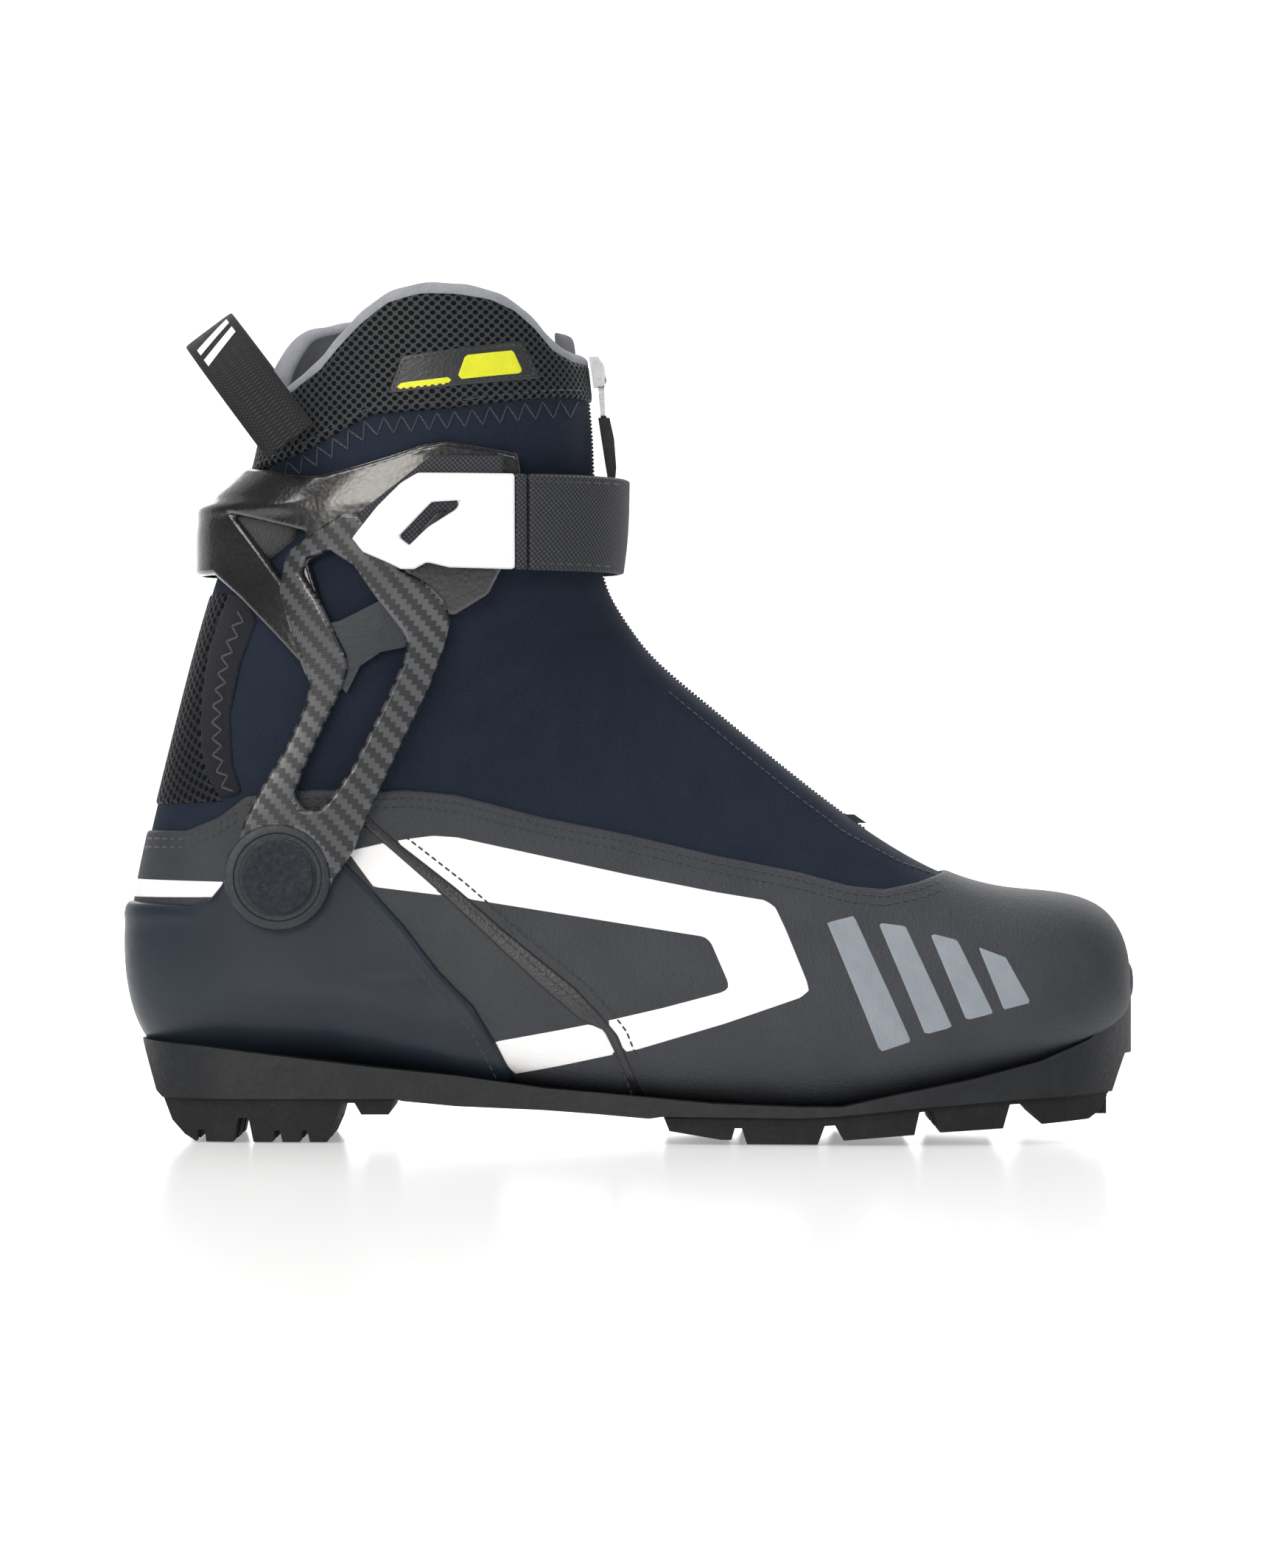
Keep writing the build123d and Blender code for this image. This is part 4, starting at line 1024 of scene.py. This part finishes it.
def lathe(name, profile, material, steps=72):
    """A turned ring about the pivot line on each side; profile is (radius, |y|)."""
    verts, faces, uvs = [], [], []
    n = len(profile)
    for side in SIDES:
        start = len(verts)
        for s in range(steps):
            angle = math.tau * s / steps
            for r, y in profile:
                verts.append((PIVOT[0] + r * math.cos(angle), side * y, PIVOT[1] + r * math.sin(angle)))
                uvs.append((verts[-1][0], verts[-1][2]))
        for s in range(steps):
            t = (s + 1) % steps
            for k in range(n):
                m = (k + 1) % n
                quad = (start + s * n + k, start + s * n + m, start + t * n + m, start + t * n + k)
                faces.append(quad if side == LATERAL else quad[::-1])
    return new_object(name, verts, faces, uvs, material, sharp=35)


done(lathe("arm_eye", EYE_PROFILE, HARDWARE), "cuff", "carbon_composite")

# ---- strap
OUTER, INNER = (LATERAL,), (MEDIAL,)
STRAP = dict(lift=0.9, thickness=2.0, edge=0.9, solid=2.0)
FELT = dict(lift=-1.4, thickness=2.2, edge=1.2, solid=2.2)
lay("strap_tip", "strap_end", "strap_print", ["strap_tab"], cuff,
    without(both(inside(TAB_OUTLINE), columns(-FAR, -33.5)), inside(TAB_HOLE)),
    STRAP_WHITE, lift=0.9, thickness=2.0, edge=0.8, solid=2.0, sides=OUTER)
lay("strap_tab_root", "strap_end", "strap_fabric", (), cuff,
    both(inside(TAB_OUTLINE), columns(-33.6, -30.1)),
    WEBBING, lift=0.9, thickness=1.9, edge=0.6, solid=1.9, sides=OUTER)
lay("strap_webbing", "strap", "strap_fabric", ["strap_band"], cuff,
    lambda skin: both(inside(STRAP_FRONT), columns(-29.9 if skin.side == LATERAL else -25.9, 80))(skin),
    WEBBING, **STRAP)
lay("strap_anchor_web", "cuff", "strap_fabric", ["strap_anchor"], cuff, inside(ANCHOR_OUTLINE), WEBBING,
    sides=INNER, **STRAP)
lay("hook_pad_felt", "cuff", "strap_fabric", ["hook_pad"], cuff, inside(HOOK_OUTLINE), WEBBING, sides=OUTER, **FELT)
lay("anchor_pad_felt", "cuff", "strap_fabric", ["anchor_pad"], cuff, inside(PAD_OUTLINE), WEBBING, sides=INNER, **FELT)
lay("strap_peg", "cuff", "cuff_plastic", (), cuff, inside(PEG), HARDWARE,
    lift=0.5, thickness=1.6, edge=0.9, solid=1.6, sides=OUTER)

# ---- pull loop
ORIGIN = np.array([-98.3, 0.0, 204.4])
ALONG = np.array([-0.6, 0.0, 0.8])
WIDTH = np.array([0.8, 0.0, 0.6])
flat = spline(np.array([(a, y, 0.0) for a, y in PULL_LOOP]), 70)
loop_centres = ORIGIN + flat[:, :1] * ALONG + flat[:, 1:2] * np.array([0.0, 1.0, 0.0])
loop_ups = np.cross(WIDTH, np.gradient(loop_centres, axis=0))
loop = tube("pull_loop_web", loop_centres, loop_ups, 17.0, 1.7, LOOP_TAPE, sides=28, power=6.0)
done(loop, "cuff", "webbing", "pull_loop")


def loop_bars():
    """Two slanted pale bars woven into the loop near its top, on its outer face."""
    verts, faces = [], []
    d = np.concatenate([[0], np.cumsum(np.linalg.norm(np.diff(loop_centres, axis=0), axis=1))])
    out = loop_ups / np.linalg.norm(loop_ups, axis=1, keepdims=True)
    middle = loop_centres.mean(axis=0)
    for begin in (38.5, 45.0):
        start = len(verts)
        for i in range(9):
            v = -6.2 + 12.4 * i / 8
            for j in range(4):
                s = begin + v * 0.45 + 3.6 * j / 3
                p, o = (np.array([np.interp(s, d, path[:, k]) for k in range(3)]) for path in (loop_centres, out))
                if np.dot(p - middle, o) < 0:
                    o = -o
                verts.append(p + WIDTH * v + o * 1.0)
        faces += quads(9, 4, start)
    return new_object("pull_loop_bars", verts, faces, [(v[0], v[2]) for v in verts], WHITE)


done(loop_bars(), "cuff", None)

# ---- label
lay("collar_label_patch", "cuff", "label_tape", ["collar_label"], boot, inside(LABEL_OUTLINE), BAND,
    lift=0.3, thickness=0.6, edge=0.6, sides=OUTER)
lay("collar_label_marks", "cuff", "label_tape", (), boot, either(*map(inside, LABEL_SHAPES)), YELLOW,
    lift=0.92, thickness=0.12, edge=0.3, sides=OUTER)

# ---- stitching
UPPER_ROWS = [between(shifted(UPPER_EDGE, 0, dz), -112, 98) for dz in (-2.5, -5.0)]
UPPER_ROWS += [[(-145, 88.5 - d), (-130, 88.5 - d), (-121, 92.0 - d), (-114, 96.5 - d)] for d in (0, 2.5)]
COUNTER_ROWS = [[(-76, 68), (-66, 57), (-56, 44.5), (-46, 34), (-41, 26), (-38, 20)], [(-146, 66.5), (-134, 65.5)]]
BAND_ROWS = [[(-72, 89.5), (-52, 73.5), (-26, 50.5), (-11, 38), (-5, 31), (-1.5, 22), (1.5, 14)]]
SIDE_ROWS = [shifted(between(BAND_OUTLINE[:10], -76, 3), 2.4, 1.6)]
SEAM_LINE = between(COLLAR_SEAM, -112, -20)
SEAM_ZIGZAG = [(x, z - 3.4) for x, z in SEAM_LINE] + [(-14, 215)]
COLLAR_ROWS = [[(x, z + 2.2) for x, z in SEAM_LINE] + [(-14, 220.6)]]
BACK_ZIGZAG = [(-113.5, 155), (-118.5, 141), (-121, 126), (-120.5, 112), (-117, 102)]
STRAP_ROWS = [[(-28, 193), (-5, 193)], [(-28, 169), (-5, 169)]]
FRONT_ROWS = [[(94, 77.5), (80, 82.5), (64, 91), (46, 104.5), (30, 117.5), (12, 132.5)]]
LABEL_ROWS = [[(-68.3, 219.3), (-27.5, 224), (-31.6, 232.8), (-65.2, 228), (-68.3, 219.3)]]
sewn = [
    (stitches("upper_edge_stitches", boot, UPPER_ROWS, DARK_THREAD, lift=0.35), "boot", "upper_synthetic"),
    (stitches("counter_stitches", boot, COUNTER_ROWS, NAVY_THREAD, lift=2.25), "boot", "counter_tpu"),
    (stitches("band_stitches", boot, BAND_ROWS, DARK_THREAD, lift=0.9), "boot", "band_tpu"),
    (stitches("side_stitches", boot, SIDE_ROWS, DARK_THREAD, lift=0.5), "boot", "upper_synthetic"),
    (zigzag_stitches("collar_zigzag", boot, SEAM_ZIGZAG, NAVY_THREAD, lift=-0.7, step=2.6, width=5.0, radius=0.26),
     "cuff", "softshell_fabric"),
    (stitches("collar_stitches", boot, COLLAR_ROWS, NAVY_THREAD, lift=0.45), "cuff", "mesh_fabric"),
    (zigzag_stitches("back_zigzag", boot, BACK_ZIGZAG, NAVY_THREAD, lift=-0.1, width=3.0), "cuff", "softshell_fabric"),
    (stitches("strap_stitches", cuff, STRAP_ROWS, DARK_THREAD, lift=2.9, sides=OUTER), "strap", "strap_fabric"),
    (stitches("front_seam_stitches", boot, FRONT_ROWS, NAVY_THREAD, lift=-0.75, pitch=2.3), "boot", "softshell_fabric"),
    (stitches("label_stitches", boot, LABEL_ROWS, DARK_THREAD, lift=0.9, pitch=2.1, length=1.3, sides=OUTER),
     "cuff", "label_tape"),
]
for piece, body, slot in sewn:
    done(piece, body, slot)

# ---- CAD parts that stay in view
FINISH = [
    (SOLE, "sole_frame binding_insert"), (TREAD, "heel_tread forefoot_tread"), (BUMPER, "toe_bumper"),
    (STEEL, "binding_bar pivot_pin anchor_rivet"), (CAP, "pivot_cap"), (ZIP_METAL, "zip_slider pull_plate"),
    (GRIP, "pull_cord pull_grip"),
    (HARDWARE, "pivot_boss arm_web zip_stop toe_puff heel_stiffener lasting_board eyestay"),
]
for look, starts in FINISH:
    for name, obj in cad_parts.items():
        if name.startswith(tuple(starts.split())):
            if not obj.material_slots:
                obj.data.materials.append(look)
            for slot_item in obj.material_slots:
                slot_item.material = look

# ---- stage and light
BEND_START, BEND_RADIUS = 1.3, 0.9  # the floor runs back this far, then bends up into the wall
BELOW_SOLE = 0.3
profile = [(-2.4, 0.0), (BEND_START, 0.0)]
profile += [(BEND_START + math.sin(a) * BEND_RADIUS, BEND_RADIUS - math.cos(a) * BEND_RADIUS)
            for a in np.linspace(0.08, math.pi / 2, 16)]
profile += [(BEND_START + BEND_RADIUS, 4.0)]
stage_verts = [(x, y * 1000, z * 1000 - BELOW_SOLE) for y, z in profile for x in (-4000.0, 4000.0)]
stage_faces = [(2 * k, 2 * k + 1, 2 * k + 3, 2 * k + 2) for k in range(len(profile) - 1)]
paper = Look("studio_paper", (247, 247, 248), 0.16, "Object", Emission_Strength=0.3, Emission_Color=(1, 1, 1, 1))
paper.paint(paper.noise(300, 2), (246, 246, 247), (250, 250, 251))
stage = new_object("studio_floor", stage_verts, stage_faces, None, paper.material, sharp=0)

LIGHTS = [  # name, place, target, size, watts, colour
    ("key", (-0.75, -0.75, 1.25), (0, 0, 0.1), (0.7, 0.7), 9, (1, 0.97, 0.93)),
    ("fill", (1.2, -1.0, 0.9), (0, 0, 0.1), (0.6, 0.6), 5, (0.93, 0.96, 1)),
    ("top", (-0.1, 0.05, 1.3), (0, 0, 0.1), (1.2, 0.7), 9, (1, 1, 1)),
    ("front", (-0.5, -1.35, 0.52), (-0.08, 0, 0.19), (0.8, 0.5), 10, (1, 0.96, 0.89)),
    ("back", (0.2, 1.4, 0.9), (0, 0.9, 0.3), (2.6, 0.8), 14, (1, 1, 1)),
    ("wall", (0, 0.9, 1.5), (0, 2.1, 0.7), (3.0, 0.6), 16, (1, 1, 1)),
]
for name, where, target, size, power, colour in LIGHTS:
    data = bpy.data.lights.new(name, "AREA")
    data.shape = "RECTANGLE"
    data.size, data.size_y = size
    data.energy = power
    data.color = colour
    lamp = bpy.data.objects.new(name, data)
    scene.collection.objects.link(lamp)
    lamp.location = where
    lamp.rotation_euler = (Vector(target) - Vector(where)).to_track_quat("-Z", "Y").to_euler()
world = bpy.data.worlds.new("World")
scene.world = world
world.use_nodes = True
background = world.node_tree.nodes["Background"]
background.inputs["Color"].default_value = (1, 1, 1, 1)
background.inputs["Strength"].default_value = 0.12
